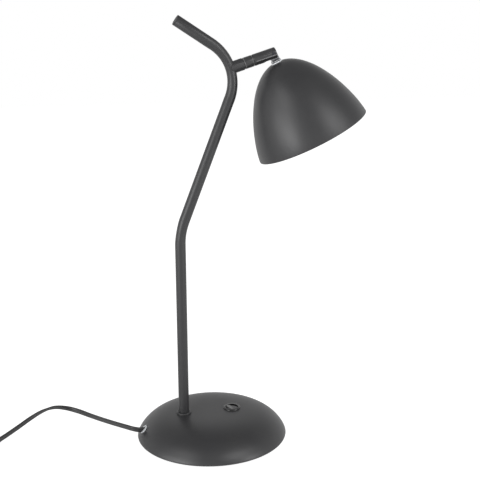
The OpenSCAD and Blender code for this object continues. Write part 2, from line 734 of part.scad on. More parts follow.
module holder_body() {
    low = core_top + core_t;
    color("#242426") in_shade() rotate_extrude() polygon([
        [shell_r, -low - 0.1], [holder_r - 1.8, -low - 0.1], [holder_r - 1.8, -low - 2.2],
        [holder_r, -low - 2.2], [holder_r, -skirt_end + 1], [holder_r - 1, -skirt_end],
        [shell_r, -skirt_end]]);
}
module holder_contact() {
    color("#c9a24a") in_shade() {
        translate([0, 0, -bulb_top]) cylinder(r = 2.2, h = 0.6);
        translate([0, 0, -bulb_top + 0.6]) cylinder(r = 1.2, h = contact_t - 0.6);
    }
}
module holder_shell() {
    color("#c9a24a") in_shade()
        ring(-skirt_end + 2, -core_top - core_t - 0.1, shell_r, shell_r - shell_wall);
}

// Bulb
module bulb_tip() {
    color("#b5b5b7") in_shade() translate([0, 0, -bulb_top - bulb_tip_t])
        cylinder(r1 = 2.6, r2 = 2, h = bulb_tip_t);
}
module bulb_insulator() {
    top = bulb_top + bulb_tip_t;
    color("#1a1a1c") in_shade() translate([0, 0, -top - bulb_insulator_t])
        cylinder(r1 = bulb_cap_d / 2 - 1, r2 = 2.6, h = bulb_insulator_t);
}
module bulb_cap() {
    color("#b9bbbe") in_shade() translate([0, 0, -glass_top])
        cylinder(d = bulb_cap_d, h = bulb_cap_len);
}
module bulb_glass() {
    neck = bulb_cap_d / 2;
    meet = 36;
    outer = concat(
        [[neck, -glass_top], [neck + 0.4, -glass_top - 3], [neck + 2, -glass_top - 6]],
        [for (a = [meet : 9 : 180]) [globe_r * sin(a), -globe_centre + globe_r * cos(a)]]);
    inside = globe_r - glass_wall;
    inner = concat(
        [[neck - glass_wall, -glass_top], [neck + 0.4 - glass_wall, -glass_top - 3.2],
         [neck + 2 - glass_wall, -glass_top - 6.4]],
        [for (a = [meet : 9 : 180]) [inside * sin(a), -globe_centre + inside * cos(a)]]);
    color("#f4f4f0") in_shade() rotate_extrude() polygon(concat(
        outer, [for (i = [len(inner) - 1 : -1 : 0]) inner[i]]));
}

// Switch
module switch_housing() {
    color("#2a2a2c") at_switch() difference() {
        union() {
            translate([0, 0, switch_seat_z]) cylinder(d = bezel_d, h = bezel_t - 0.7);
            translate([0, 0, switch_seat_z + bezel_t - 0.7])
                cylinder(d1 = bezel_d, d2 = bezel_d - 1.4, h = 0.7);
            translate([0, 0, switch_seat_z - cup_depth]) cylinder(r = cup_r, h = cup_depth);
        }
        translate([0, 0, switch_seat_z - cup_depth + cup_floor])
            cylinder(r = cup_bore_r, h = cup_depth + bezel_t);
        translate([0, 0, rocker_axis_z]) rotate([90, 0, 0]) translate([0, 0, -15])
            cylinder(r = 1 + fit_gap, h = 30);
    }
}
module switch_rocker() {
    half = rocker_d / 2;
    color("#2e2e30") at_switch() translate([0, 0, rocker_axis_z]) rotate([0, rocker_tilt, 0]) {
        intersection() {
            translate([0, 0, -8]) cylinder(d = rocker_d, h = 16);
            rotate([90, 0, 0]) translate([0, 0, -half]) linear_extrude(rocker_d) polygon([
                [-half, 4.2], [0, 2.6], [half, 4.2], [half, -3], [2.5, -6], [-2.5, -6],
                [-half, -3]]);
        }
        rotate([90, 0, 0]) translate([0, 0, -cup_r + 0.2]) cylinder(r = 1, h = 2 * cup_r - 0.4);
    }
}
module switch_terminals() {
    color("#c9a24a") at_switch() for (side = [-1, 1])
        translate([-tab_w / 2, side * tab_y - tab_t / 2, switch_seat_z - cup_depth - tab_len])
            cube([tab_w, tab_t, tab_len]);
}
module switch_leads() {
    tab_low = switch_seat_z - cup_depth - tab_len;
    color("#7c4a34") for (side = [-1, 1]) translate([0, side * tab_y, 0]) {
        translate([block_x[1], 0, lead_z]) rotate([0, 90, 0])
            cylinder(r = lead_r, h = switch_x - block_x[1]);
        translate([switch_x, 0, lead_z]) sphere(r = lead_r);
        translate([switch_x, 0, lead_z]) cylinder(r = lead_r, h = tab_low - lead_z);
    }
}

// Wiring in the base
module terminal_block() {
    color("#e4e2da") difference() {
        translate([block_x[0], -block_half_y, floor_z])
            cube([block_x[1] - block_x[0], 2 * block_half_y, block_top_z - floor_z]);
        for (x = [block_x[0] + 5, block_x[1] - 5]) for (side = [-1, 1])
            translate([x, side * tab_y, block_top_z - 4]) cylinder(r = 1.8, h = 5);
    }
}
module cord_bushing() {
    color("#dfe3e6") at_exit() difference() {
        union() {
            cylinder(r = bushing_flange_r, h = bushing_flange_t - 0.5);
            translate([0, 0, bushing_flange_t - 0.5])
                cylinder(r1 = bushing_flange_r, r2 = bushing_flange_r - 0.5, h = 0.5);
            translate([0, 0, -cover_wall - 0.6]) cylinder(r = bushing_neck_r, h = cover_wall + 0.7);
            translate([0, 0, -cover_wall - 1.5])
                cylinder(r1 = bushing_neck_r, r2 = bushing_lip_r, h = 1);
        }
        linear_extrude(20, center = true) {
            square([bushing_slot[0] - bushing_slot[1], bushing_slot[1]], center = true);
            for (side = [-1, 1]) translate([side * (bushing_slot[0] - bushing_slot[1]) / 2, 0])
                circle(d = bushing_slot[1]);
        }
    }
}
module cord_clamp() {
    slot = cord_t + 0.4;
    long = clamp_x[1] - clamp_x[0];
    color("#d9d9d4") difference() {
        translate([clamp_x[0], -clamp_half_y, floor_z])
            cube([long, 2 * clamp_half_y, clamp_top_z - floor_z]);
        translate([clamp_x[0] - 1, -slot / 2, clamp_slot_z])
            cube([long + 2, slot, clamp_top_z - clamp_slot_z + 1]);
        translate([clamp_x[0] + long / 2, 20, clamp_screw_z]) rotate([90, 0, 0])
            cylinder(r = 1.3 + fit_gap, h = 40);
    }
}
module clamp_screw() {
    color("#9a9a9c") translate([(clamp_x[0] + clamp_x[1]) / 2, -clamp_half_y, clamp_screw_z])
        rotate([-90, 0, 0]) {
            cylinder(r = 1.3, h = 2 * clamp_half_y);
            translate([0, 0, -1.8]) cylinder(r = 2.6, h = 1.8);
        }
}

// Cord
module cord_tail() {
    route = smooth_route(tail_route, 2);
    roll = smooth_roll(tail_roll, 2);
    color("#262628") swept([for (i = [len(route) - 1 : -1 : 0])
        cord_ring(route[i], i == 0 ? unit(cord_start_dir) : -heading(route, i), roll[i], 8)]);
}
module mains_cord() {
    route = smooth_route(cord_route, 2);
    roll = smooth_roll(cord_roll, 2);
    last = len(route) - 1;
    color("#262628") swept([for (i = [0 : last])
        cord_ring(route[i], i == 0 ? unit(cord_start_dir) : i == last ? [0, -1, 0]
            : heading(route, i), roll[i], 8)]);
}
module cord_coil() {
    echo(least_coil_gap_mm = least_coil_gap());
    color("#262628") swept(coil_ring_list);
}

// Plug: a flat two-pin mains plug, with its tail towards the cord
module plug_body() {
    full = plug_tail_len + plug_body_len;
    color("#242426") at_plug() difference() {
        intersection() {
            rotate([90, 0, 0]) translate([0, 0, -plug_t / 2]) linear_extrude(plug_t) polygon([
                [-4.6, 0], [4.6, 0], [5.6, plug_tail_len], [plug_w / 2 - 4, plug_tail_len + 12],
                [plug_w / 2, plug_tail_len + 17], [plug_w / 2, full], [-plug_w / 2, full],
                [-plug_w / 2, plug_tail_len + 17], [-plug_w / 2 + 4, plug_tail_len + 12],
                [-5.6, plug_tail_len]]);
            rotate([90, 0, 90]) translate([0, 0, -plug_w / 2]) linear_extrude(plug_w) polygon([
                [-3.4, 0], [3.4, 0], [4.4, plug_tail_len], [plug_t / 2, plug_tail_len + 8],
                [plug_t / 2, full - 1], [plug_t / 2 - 1, full], [-plug_t / 2 + 1, full],
                [-plug_t / 2, full - 1], [-plug_t / 2, plug_tail_len + 8],
                [-4.4, plug_tail_len]]);
        }
        // Flex cuts across the tail, staggered side to side
        for (i = [0 : 4]) for (side = [-1, 1])
            translate([side > 0 ? 1.6 : -7.6, -10, 2.5 + 3.2 * i + (side > 0 ? 1.6 : 0)])
                cube([6, 20, 1]);
        for (side = [-1, 1]) translate([side * pin_gap / 2, 0, full - 6])
            cylinder(r = 1.4 + fit_gap, h = 7);
    }
}
module plug_pins() {
    front = plug_tail_len + plug_body_len;
    color("#c3c4c6") at_plug() for (side = [-1, 1]) translate([side * pin_gap / 2, 0, 0]) {
        translate([0, 0, front - 6]) cylinder(r = 1.4, h = 6 + pin_sleeve_len);
        translate([0, 0, front + pin_sleeve_len])
            cylinder(r = 2, h = pin_len_out - pin_sleeve_len - 1.2);
        translate([0, 0, front + pin_len_out - 1.2]) cylinder(r1 = 2, r2 = 1.1, h = 1.2);
    }
}
module plug_sleeves() {
    front = plug_tail_len + plug_body_len;
    color("#2a2a2c") at_plug() for (side = [-1, 1]) translate([side * pin_gap / 2, 0, 0])
        ring(front, front + pin_sleeve_len, 1.95, 1.4 + fit_gap);
}

base_cover();
base_weight();
base_plate();
base_pad();
plate_screws();
stem_tube();
foot_collar();
foot_nipple();
foot_washer();
foot_nut();
end_plug();
arm_stub();
swivel_collar();
swivel_washer();
lamp_cable();
swivel_sleeve();
swivel_stop_screw();
tilt_pin();
tilt_washers();
tilt_tongue();
shade_washer();
shade();
inner_washer();
shade_nut();
holder_cap();
holder_core();
holder_body();
holder_contact();
holder_shell();
bulb_tip();
bulb_insulator();
bulb_cap();
bulb_glass();
switch_housing();
switch_rocker();
switch_terminals();
switch_leads();
terminal_block();
cord_bushing();
cord_clamp();
clamp_screw();
cord_tail();
mains_cord();
cord_coil();
plug_body();
plug_pins();
plug_sleeves();
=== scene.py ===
# Desk lamp: the looks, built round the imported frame
import bpy
import bmesh
from math import radians, sin, cos, tan, pi, asin, atan2, sqrt
from mathutils import Matrix, Vector


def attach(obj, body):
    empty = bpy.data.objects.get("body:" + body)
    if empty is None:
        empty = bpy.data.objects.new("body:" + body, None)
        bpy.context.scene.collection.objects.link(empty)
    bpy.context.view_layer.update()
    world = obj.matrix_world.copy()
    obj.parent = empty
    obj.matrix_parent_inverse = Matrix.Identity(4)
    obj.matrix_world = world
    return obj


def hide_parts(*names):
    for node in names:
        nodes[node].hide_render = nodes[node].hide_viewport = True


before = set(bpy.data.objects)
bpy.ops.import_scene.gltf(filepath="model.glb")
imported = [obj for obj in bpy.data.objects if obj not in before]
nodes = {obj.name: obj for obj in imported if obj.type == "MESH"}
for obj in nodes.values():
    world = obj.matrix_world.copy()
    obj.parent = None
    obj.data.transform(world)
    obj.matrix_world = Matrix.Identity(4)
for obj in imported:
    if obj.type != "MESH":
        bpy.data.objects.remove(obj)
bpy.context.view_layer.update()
MM = 0.001

# Camera
# It stands in front of the lamp and a little to its left, and looks down at it.
# The lamp's own plane is turned away from the picture by the camera's turn.
camera_turn = radians(14.08)
camera_pitch = radians(13.79)
camera_roll = radians(0.04)
focal_px = 922.13
frame_px = 480
centre_px = (264.74, 238.42)
camera_x, camera_y, camera_z = -0.18437, -0.99052, 0.48524
look = Vector((cos(camera_pitch) * sin(camera_turn), cos(camera_pitch) * cos(camera_turn),
               -sin(camera_pitch)))
right = Vector((cos(camera_turn), -sin(camera_turn), 0))
up = right.cross(look)
side = right * cos(camera_roll) + up * sin(camera_roll)
top = up * cos(camera_roll) - right * sin(camera_roll)
camera_data = bpy.data.cameras.new("camera")
camera_data.sensor_width = 36
camera_data.lens = focal_px / frame_px * camera_data.sensor_width
camera_data.shift_x = (frame_px / 2 - centre_px[0]) / frame_px
camera_data.shift_y = (centre_px[1] - frame_px / 2) / frame_px
camera_data.clip_start = 0.05
camera_data.clip_end = 20
camera = bpy.data.objects.new("camera", camera_data)
camera.matrix_world = Matrix((
    (side.x, top.x, -look.x, camera_x),
    (side.y, top.y, -look.y, camera_y),
    (side.z, top.z, -look.z, camera_z),
    (0, 0, 0, 1)))
bpy.context.scene.collection.objects.link(camera)
bpy.context.scene.camera = camera

# Mains cord
# A flat two-core mains lead in black PVC, from the clear bushing along the table to its
# put-away coil and the plug. Its sheath is extruded over both cores, so a shallow groove
# runs along each broad side.
base_r, base_h, rim_z, dome_full, dome_steep, exit_z = 87, 31, 4, 4.6, 1.28, 15


def dome_r(z):
    """Radius of the base's dome at a height over the table."""
    return base_r * (1 - ((z - rim_z) / (base_h - rim_z)) ** dome_steep) ** (1 / dome_full)


exit_r = dome_r(exit_z)
bushing_out = 1.4
cord_start_x = -exit_r - bushing_out
cord_w, cord_t, groove = 5.8, 3.4, 0.28
route_from_exit = [
    (0, 0, 15), (5.5, -2, 16.3), (12, 0, 17.5), (18.5, 6.5, 17.5), (30.5, 25.5, 14.5),
    (43, 47, 11), (56, 69, 8), (69.5, 86.5, 7.5), (83.5, 93.5, 10), (98, 91, 13.5),
    (112.5, 84, 13), (126.5, 76, 9), (140.5, 63, 5.5), (154.5, 47, 3.6), (161.5, 38, 3.3),
    (168.5, 24, 2.9), (173.5, 6, 2.1), (174.5, -8, 1.7), (174.5, -14.2, 1.7)]
cord_route = [(cord_start_x - x, y, z) for x, y, z in route_from_exit]
cord_roll = [90, 90, 90, 90, 90, 90, 85, 65, 35, 0, -50, -80, -90, -90, -95, -120, -165,
             -180, -180]
coil_x, coil_y = cord_start_x - 218.5, -20
coil_turns, coil_inner_r, coil_pitch, coil_layer, coil_steps = 6.5, 23.2, 6.4, 4, 48
coil_low = cord_t / 2
coil_outer_r = coil_inner_r + coil_pitch * coil_turns / 2
plug_t, plug_w = 13.6, 35
plug_x, plug_y, plug_z = coil_x - coil_outer_r, coil_y + 22, plug_t / 2


def curve_point(points, i, f):
    """Point on a smooth curve through the points, a share f past point i."""
    last = len(points) - 1
    a, b, c, d = [Vector(points[min(max(i + k, 0), last)]) for k in (-1, 0, 1, 2)]
    return 0.5 * (2 * b + (c - a) * f + (2 * a - 5 * b + 4 * c - d) * f * f
                  + (3 * b - a - 3 * c + d) * f ** 3)


cord_line, cord_rolls = [], []
for i in range(len(cord_route) - 1):
    for k in range(6):
        cord_line.append(curve_point(cord_route, i, k / 6))
        cord_rolls.append(cord_roll[i] + (cord_roll[i + 1] - cord_roll[i]) * k / 6)
for i in range(int(coil_turns * coil_steps) + 1):
    turn = i / coil_steps
    r = coil_inner_r + coil_pitch * abs(turn - coil_turns / 2)
    rise = min(max((turn - coil_turns / 2) * 2 + 0.5, 0), 1)
    cord_line.append(Vector((coil_x + r * cos(2 * pi * turn), coil_y - r * sin(2 * pi * turn),
                             coil_low + coil_layer * rise * rise * (3 - 2 * rise))))
    cord_rolls.append(-180)
for s in (3, 6, 9, 12, 15, 18, 20, 22):
    rise = min(max((s - 2) / 14, 0), 1)
    cord_line.append(Vector((plug_x, coil_y + s, coil_low + coil_layer
                             + (plug_z - coil_low - coil_layer) * rise)))
    cord_rolls.append(-180)
core_r, core_off = cord_t / 2, (cord_w - cord_t) / 2
half_outline = [(core_off + core_r * cos(radians(a)), core_r * sin(radians(a)))
                for a in [-90 + 22.5 * k for k in range(9)]]
for x in [core_off * (1 - k / 3) for k in range(1, 6)]:
    half_outline.append((x, core_r - groove * (1 - (x / core_off) ** 2) ** 2))
cord_outline = half_outline + [(-x, -y) for x, y in half_outline]
cord_places = []
cord_start_dir = Vector((-0.962, 0, 0.275)).normalized()
for i, point in enumerate(cord_line):
    heading = (cord_line[min(i + 1, len(cord_line) - 1)] - cord_line[max(i - 1, 0)]).normalized()
    if i == 0:
        heading = cord_start_dir
    if i == len(cord_line) - 1:
        heading = Vector((0, 1, 0))
    across = heading.cross(Vector((0, 0, 1))).normalized()
    flat = Matrix((across, heading.cross(across), heading)).transposed().to_4x4()
    cord_places.append(Matrix.Translation(point) @ flat
                       @ Matrix.Rotation(radians(-cord_rolls[i]), 4, "Z"))


def sweep(outline, places):
    """A closed skin: an outline in X and Y, extruded ring by ring through the places."""
    bm = bmesh.new()
    cap = bm.faces.new([bm.verts.new((x, y, 0)) for x, y in outline])
    bmesh.ops.transform(bm, matrix=places[0], verts=bm.verts)
    rim = cap.edges[:]
    for before, after in zip(places, places[1:]):
        grown = bmesh.ops.extrude_edge_only(bm, edges=rim)["geom"]
        ring = {part for part in grown if isinstance(part, bmesh.types.BMVert)}
        rim = [part for part in grown if isinstance(part, bmesh.types.BMEdge)
               and part.verts[0] in ring and part.verts[1] in ring]
        bmesh.ops.transform(bm, matrix=after @ before.inverted(), verts=list(ring))
    bmesh.ops.holes_fill(bm, edges=rim, sides=0)
    return bm


def linear(code):
    """An sRGB hex colour as the linear colour that a socket holds."""
    parts = [int(code[i:i + 2], 16) / 255 for i in (1, 3, 5)]
    return [c / 12.92 if c <= 0.04045 else ((c + 0.055) / 1.055) ** 2.4 for c in parts] + [1]


def add_node(tree, kind, settings={}, links={}):
    """Add a node, set its sockets and properties, and link outputs to its sockets."""
    made = tree.nodes.new(kind)
    for name, value in settings.items():
        if name in made.inputs:
            made.inputs[name].default_value = value
        else:
            setattr(made, name, value)
    for name, source in links.items():
        tree.links.new(source, made.inputs[name])
    return made


def new_material(name):
    """An empty node material and its tree."""
    made = bpy.data.materials.new(name)
    made.use_nodes = True
    made.node_tree.nodes.clear()
    return made, made.node_tree


def mottled(name, noise, colours, roughness, relief=0, grain=None, look={}):
    """A material whose colour and roughness follow one noise: patches to a metre, and detail.

    Its relief, in millimetres, follows the same noise, or a finer grain where one is given.
    """
    made, tree = new_material(name)
    spot = add_node(tree, "ShaderNodeTexCoord").outputs["Object"]
    noises = [add_node(tree, "ShaderNodeTexNoise", {"Scale": scale, "Detail": detail},
                       {"Vector": spot}).outputs["Fac"]
              for scale, detail in ([noise, grain] if grain else [noise])]
    tint = add_node(tree, "ShaderNodeMixRGB", {"Color1": linear(colours[0]),
                    "Color2": linear(colours[1])}, {"Fac": noises[0]})
    sheen = add_node(tree, "ShaderNodeMapRange", {"To Min": roughness[0],
                     "To Max": roughness[1]}, {"Value": noises[0]})
    links = {"Base Color": tint.outputs["Color"], "Roughness": sheen.outputs["Result"]}
    if relief:
        bump = add_node(tree, "ShaderNodeBump", {"Distance": relief * MM},
                        {"Height": noises[-1]})
        links["Normal"] = bump.outputs["Normal"]
    skin = add_node(tree, "ShaderNodeBsdfPrincipled", look, links)
    add_node(tree, "ShaderNodeOutputMaterial", {}, {"Surface": skin.outputs["BSDF"]})
    return made


# Extruded soft PVC: a dull sheen with faint scuffs, and a skin that is almost smooth.
cord_black = mottled("black_pvc_sheath", (170, 3), ("#1e1e1f", "#282829"), (0.34, 0.48), 0.01,
                     grain=(1400, 2), look={"IOR": 1.53})


to_metres = Matrix.Diagonal((MM, MM, MM, 1))


def piece(bm, name, material, body, place=Matrix.Identity(4), replaces=(),
          sharp=32):
    """A finished piece, made in millimetres, set in place and riding on a body."""
    bmesh.ops.transform(bm, matrix=to_metres @ place, verts=bm.verts)
    bmesh.ops.recalc_face_normals(bm, faces=bm.faces)
    for face in bm.faces:
        face.smooth = True
    for edge in bm.edges:
        edge.smooth = len(edge.link_faces) < 2 or edge.calc_face_angle(0) < radians(sharp)
    mesh = bpy.data.meshes.new(name)
    bm.to_mesh(mesh)
    bm.free()
    mesh.materials.append(material)
    made = bpy.data.objects.new(name, mesh)
    bpy.context.scene.collection.objects.link(made)
    if replaces:
        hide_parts(*replaces)
    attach(made, body)
    return made


mains_cord = piece(sweep(cord_outline, cord_places), "mains_cord_flat", cord_black, "base",
                   replaces=("mains_cord", "cord_coil"), sharp=60)

# Plug
# A flat two-pin plug in matt black PVC, moulded over the cord's end in one shot. Its tail is
# cut into rings so that it bends, and the two nickel-plated pins are sleeved half-way.


def moved(x, y, z):
    return Matrix.Translation((x, y, z))


def turned(axis, degrees):
    return Matrix.Rotation(radians(degrees), 4, axis)


# Moulded PVC with a fine spark-eroded texture, which breaks up any highlight.
matt_black = mottled("matt_black_moulding", (160, 3), ("#202021", "#2c2c2d"), (0.44, 0.56),
                     0.02, grain=(2400, 2))

# Electroplated nickel: bright and slightly yellow, with faint drag marks along each pin.
nickel, tree = new_material("nickel_plate")
spot = add_node(tree, "ShaderNodeTexCoord").outputs["Object"]
drawn = add_node(tree, "ShaderNodeMapping", {"Scale": (1, 1, 0.15)}, {"Vector": spot})
marks = add_node(tree, "ShaderNodeTexNoise", {"Scale": 1100, "Detail": 2},
                 {"Vector": drawn.outputs["Vector"]}).outputs["Fac"]
tint = add_node(tree, "ShaderNodeMixRGB", {"Color1": linear("#bdbbb5"),
                "Color2": linear("#d3d1cb")}, {"Fac": marks})
sheen = add_node(tree, "ShaderNodeMapRange", {"To Min": 0.16, "To Max": 0.3}, {"Value": marks})
relief = add_node(tree, "ShaderNodeBump", {"Distance": 0.006 * MM}, {"Height": marks})
skin = add_node(tree, "ShaderNodeBsdfPrincipled", {"Metallic": 1.0}, {
    "Base Color": tint.outputs["Color"], "Roughness": sheen.outputs["Result"],
    "Normal": relief.outputs["Normal"]})
add_node(tree, "ShaderNodeOutputMaterial", {}, {"Surface": skin.outputs["BSDF"]})


def lathe(profile, steps=96, closed=True):
    """A solid spun round Z from (radius, height, soft corner) points."""
    bm = bmesh.new()
    chain = [bm.verts.new((point[0], 0, point[1])) for point in profile]
    for a, b in zip(chain, chain[1:] + chain[:1] if closed else chain[1:]):
        bm.edges.new((a, b))
    for vert, point in zip(chain, profile):
        if len(point) > 2:
            bmesh.ops.bevel(bm, geom=[vert], offset=point[2], segments=4, profile=0.5,
                            affect="VERTICES", material=-1)
    bmesh.ops.spin(bm, geom=bm.verts[:] + bm.edges[:], cent=(0, 0, 0), axis=(0, 0, 1),
                   angle=2 * pi, steps=steps, use_merge=True)
    bmesh.ops.remove_doubles(bm, verts=bm.verts, dist=0.0005)
    bmesh.ops.recalc_face_normals(bm, faces=bm.faces)
    return bm


def joined(*parts):
    """One mesh that holds all the parts."""
    whole = bmesh.new()
    for part in parts:
        held = bpy.data.meshes.new("held")
        part.to_mesh(held)
        part.free()
        whole.from_mesh(held)
        bpy.data.meshes.remove(held)
    return whole


def placed(bm, place):
    bmesh.ops.transform(bm, matrix=place, verts=bm.verts)
    return bm


plug_place = moved(plug_x, plug_y, plug_z) @ turned("X", -90)
tail_len, shell_len = 20, 27
tail_cuts, cut_pitch = 7, 2.6
pin_gap, pin_len, pin_sleeve_len = 19, 19, 10
half_w, half_t = plug_w / 2, plug_t / 2
# Each station is a height along the plug, a half width and a half thickness.
stations = [(0, 4.2, 3.1), (0.4, 4.6, 3.4)]
for i in range(tail_cuts):
    z, grow = 1.4 + cut_pitch * i, 0.14 * i
    stations += [(z, 4.6 + grow, 3.4 + grow), (z + 1.3, 4.6 + grow, 3.4 + grow),
                 (z + 1.5, 3.7 + grow, 2.7 + grow), (z + 2.2, 3.7 + grow, 2.7 + grow)]
stations += [(tail_len, 5.8, 4.6), (tail_len + 2, 6.6, 5.1), (tail_len + 6, 9.6, 6.2),
             (tail_len + 10, 12.6, half_t - 0.1), (tail_len + 14, 15.4, half_t),
             (tail_len + 17, 17.1, half_t), (tail_len + 20, half_w, half_t),
             (tail_len + shell_len - 1.2, half_w, half_t),
             (tail_len + shell_len - 0.4, half_w - 0.4, half_t - 0.4),
             (tail_len + shell_len, half_w - 1.2, half_t - 1.2)]
squareness = 2 / 3.8
plug_outline = []
for k in range(72):
    c, s = cos(2 * pi * k / 72), sin(2 * pi * k / 72)
    plug_outline.append((abs(c) ** squareness * (1 if c > 0 else -1),
                         abs(s) ** squareness * (1 if s > 0 else -1)))
plug_shell = sweep(plug_outline, [moved(0, 0, z) @ Matrix.Diagonal((a, b, 1, 1))
                                  for z, a, b in stations])
piece(plug_shell, "plug_shell", matt_black, "base", plug_place, ("plug_body",),
      sharp=50)
pins, sleeves = [], []
for x in (-pin_gap / 2, pin_gap / 2):
    set_in = moved(x, 0, tail_len + shell_len)
    pins.append(placed(lathe([(0, 0), (1.4, 0), (1.4, pin_sleeve_len),
                              (2, pin_sleeve_len, 0.2), (2, pin_len, 1.2), (0, pin_len)],
                             40, closed=False), set_in))
    sleeves.append(placed(lathe([(1.45, 0), (1.95, 0), (1.95, pin_sleeve_len, 0.1),
                                 (1.45, pin_sleeve_len)], 40), set_in))
piece(joined(*pins), "plug_pin_pair", nickel, "base", plug_place, ("plug_pins",))
piece(joined(*sleeves), "plug_pin_sleeves", matt_black, "base", plug_place, ("plug_sleeves",))

# Base cover
# A dome drawn from 1.2 mm steel sheet, with its lower edge rolled in and a satin black
# powder coat. It has flat seats for the stem's ring and the switch, and a hole in its side
# for the cord's bushing.

# Powder coat, sprayed and baked: a faint orange peel about a millimetre across spreads each
# highlight into a soft one, and the film's thickness drifts a little from place to place.
satin_black = mottled("satin_black_powder_coat", (50, 3), ("#28282a", "#2e2e2f"), (0.36, 0.44),
                      0.016, grain=(900, 1.5))


def dome_z(r, inset=0.0):
    """Height of the dome's skin at a radius."""
    share = min(r / (base_r - inset), 1)
    return rim_z + (base_h - inset - rim_z) * (1 - share ** dome_full) ** (1 / dome_steep)


def cover_skin(inset, steps=72):
    """The dome's profile from its centre out to its rim and round the rolled lip."""
    r = base_r - inset
    dome = [(r * sin(pi / 2 * i / steps), dome_z(r * sin(pi / 2 * i / steps), inset))
            for i in range(steps + 1)]
    lip = [(lip_r + (r - lip_r) * sin(radians(a)),
            rim_z - (rim_z - 1.5 - inset) * cos(radians(a))) for a in range(80, -1, -8)]
    return dome + lip


def rod(r, low, high, x=0.0, segments=96):
    return placed(lathe([(0, low), (r, low), (r, high), (0, high)], segments, closed=False),
                  moved(x, 0, 0))


def carved(bm, cutters, bevel=0.0):
    """The shape less the cutters, with its hard edges softened by a bevel."""
    made = []
    for shape in [bm] + cutters:
        mesh = bpy.data.meshes.new("carving")
        bmesh.ops.recalc_face_normals(shape, faces=shape.faces)
        shape.to_mesh(mesh)
        shape.free()
        made.append(bpy.data.objects.new("carving", mesh))
        bpy.context.scene.collection.objects.link(made[-1])
    body = made[0]
    for tool in made[1:]:
        cut = body.modifiers.new("cut", "BOOLEAN")
        cut.operation, cut.solver, cut.object = "DIFFERENCE", "EXACT", tool
    if bevel:
        soft = body.modifiers.new("soft", "BEVEL")
        soft.width, soft.segments = bevel, 2
        soft.limit_method, soft.angle_limit = "ANGLE", radians(35)
    depsgraph = bpy.context.evaluated_depsgraph_get()
    mesh = bpy.data.meshes.new_from_object(body.evaluated_get(depsgraph))
    result = bmesh.new()
    result.from_mesh(mesh)
    bpy.data.meshes.remove(mesh)
    for thing in made:
        data = thing.data
        bpy.data.objects.remove(thing)
        bpy.data.meshes.remove(data)
    return result


lip_r, wall = 80.5, 1.2
foot_x, switch_x = -33, 24
exit_hole_r = 4.85
collar_r, bezel_r, cup_r = 8.5, 10, 8.7
seat_z = dome_z(abs(foot_x) + collar_r)
switch_seat = dome_z(switch_x + bezel_r)
exit_lean = atan2(dome_r(exit_z - 0.5) - dome_r(exit_z + 0.5), 1)
exit_place = moved(-exit_r, 0, exit_z) @ Matrix.Rotation(exit_lean - pi / 2, 4, "Y")
cover = carved(
    lathe(cover_skin(0) + list(reversed(cover_skin(wall))), 192, closed=False),
    [rod(collar_r + 0.1, seat_z, seat_z + 6, foot_x),
     rod(bezel_r + 0.1, switch_seat, switch_seat + 6, switch_x),
     rod(cup_r + 0.15, 8, base_h + 4, switch_x),
     placed(rod(exit_hole_r, -6, 6, segments=48), exit_place)])
piece(cover, "base_dome", satin_black, "base", replaces=("base_cover",))

# Stem
# One 12 mm steel tube, bent cold in two places: upright, leaning out, then back to a free
# end. The bender leaves the wall a little flat on one side of each bend. It has the same
# powder coat as the base.
tube_r = 6
lower_corner = Vector((foot_x, 247))
lean_out, lean_back, middle_leg, free_leg = radians(21.4), radians(57), 197, 85
lower_r, upper_r = 70, 50
lower_flat, upper_flat = 0.09, 0.18
leg = Vector((sin(lean_out), cos(lean_out)))
free = Vector((-sin(lean_back), cos(lean_back)))
upper_corner = lower_corner + leg * middle_leg
lower_cut = lower_r * tan(lean_out / 2)
upper_cut = upper_r * tan((lean_out + lean_back) / 2)
lower_centre = lower_corner + Vector((lower_r, -lower_cut))
upper_centre = (upper_corner - leg * upper_cut
                + Vector((-cos(lean_out), sin(lean_out))) * upper_r)
stem_end = upper_corner + free * free_leg


def bend(centre, r, start, end):
    """Points every degree and a half round one bend, each with the tube's heading."""
    count = round(abs(end - start) / radians(1.5))
    points = []
    for i in range(count + 1):
        a = start + (end - start) * i / count
        heading = a + (pi / 2 if end > start else -pi / 2)
        points.append((centre + Vector((cos(a), sin(a))) * r, heading))
    return points


stem_line = [(Vector((foot_x, seat_z)), pi / 2)]
stem_line += bend(lower_centre, lower_r, pi, pi - lean_out)
stem_line += bend(upper_centre, upper_r, -lean_out, lean_back)
stem_line += [(stem_end - free * 0.3, pi / 2 + lean_back), (stem_end, pi / 2 + lean_back)]
stem_places = [moved(p.x, 0, p.y) @ Matrix.Rotation(pi / 2 - heading, 4, "Y")
               for p, heading in stem_line]
stem_places[-1] = stem_places[-1] @ Matrix.Diagonal((0.96, 0.96, 1, 1))
stem = sweep([(tube_r * cos(2 * pi * k / 64), tube_r * sin(2 * pi * k / 64))
              for k in range(64)], stem_places)
for centre, r, start, end, inner, flat in (
        (lower_centre, lower_r, pi - lean_out, pi, False, lower_flat),
        (upper_centre, upper_r, -lean_out, lean_back, True, upper_flat)):
    for vert in stem.verts:
        spoke = Vector((vert.co.x, vert.co.z)) - centre
        if spoke.length > r + 2 * tube_r:
            continue
        a = atan2(spoke.y, spoke.x) % (2 * pi) if start > pi / 2 else atan2(spoke.y, spoke.x)
        share = (a - start) / (end - start)
        off = spoke.length - r
        if 0 < share < 1 and (off < 0) == inner:
            spoke *= (r + off * (1 - flat * sin(pi * share))) / spoke.length
            vert.co.x, vert.co.z = centre.x + spoke.x, centre.y + spoke.y
piece(stem, "stem", satin_black, "base", replaces=("stem_tube",), sharp=50)

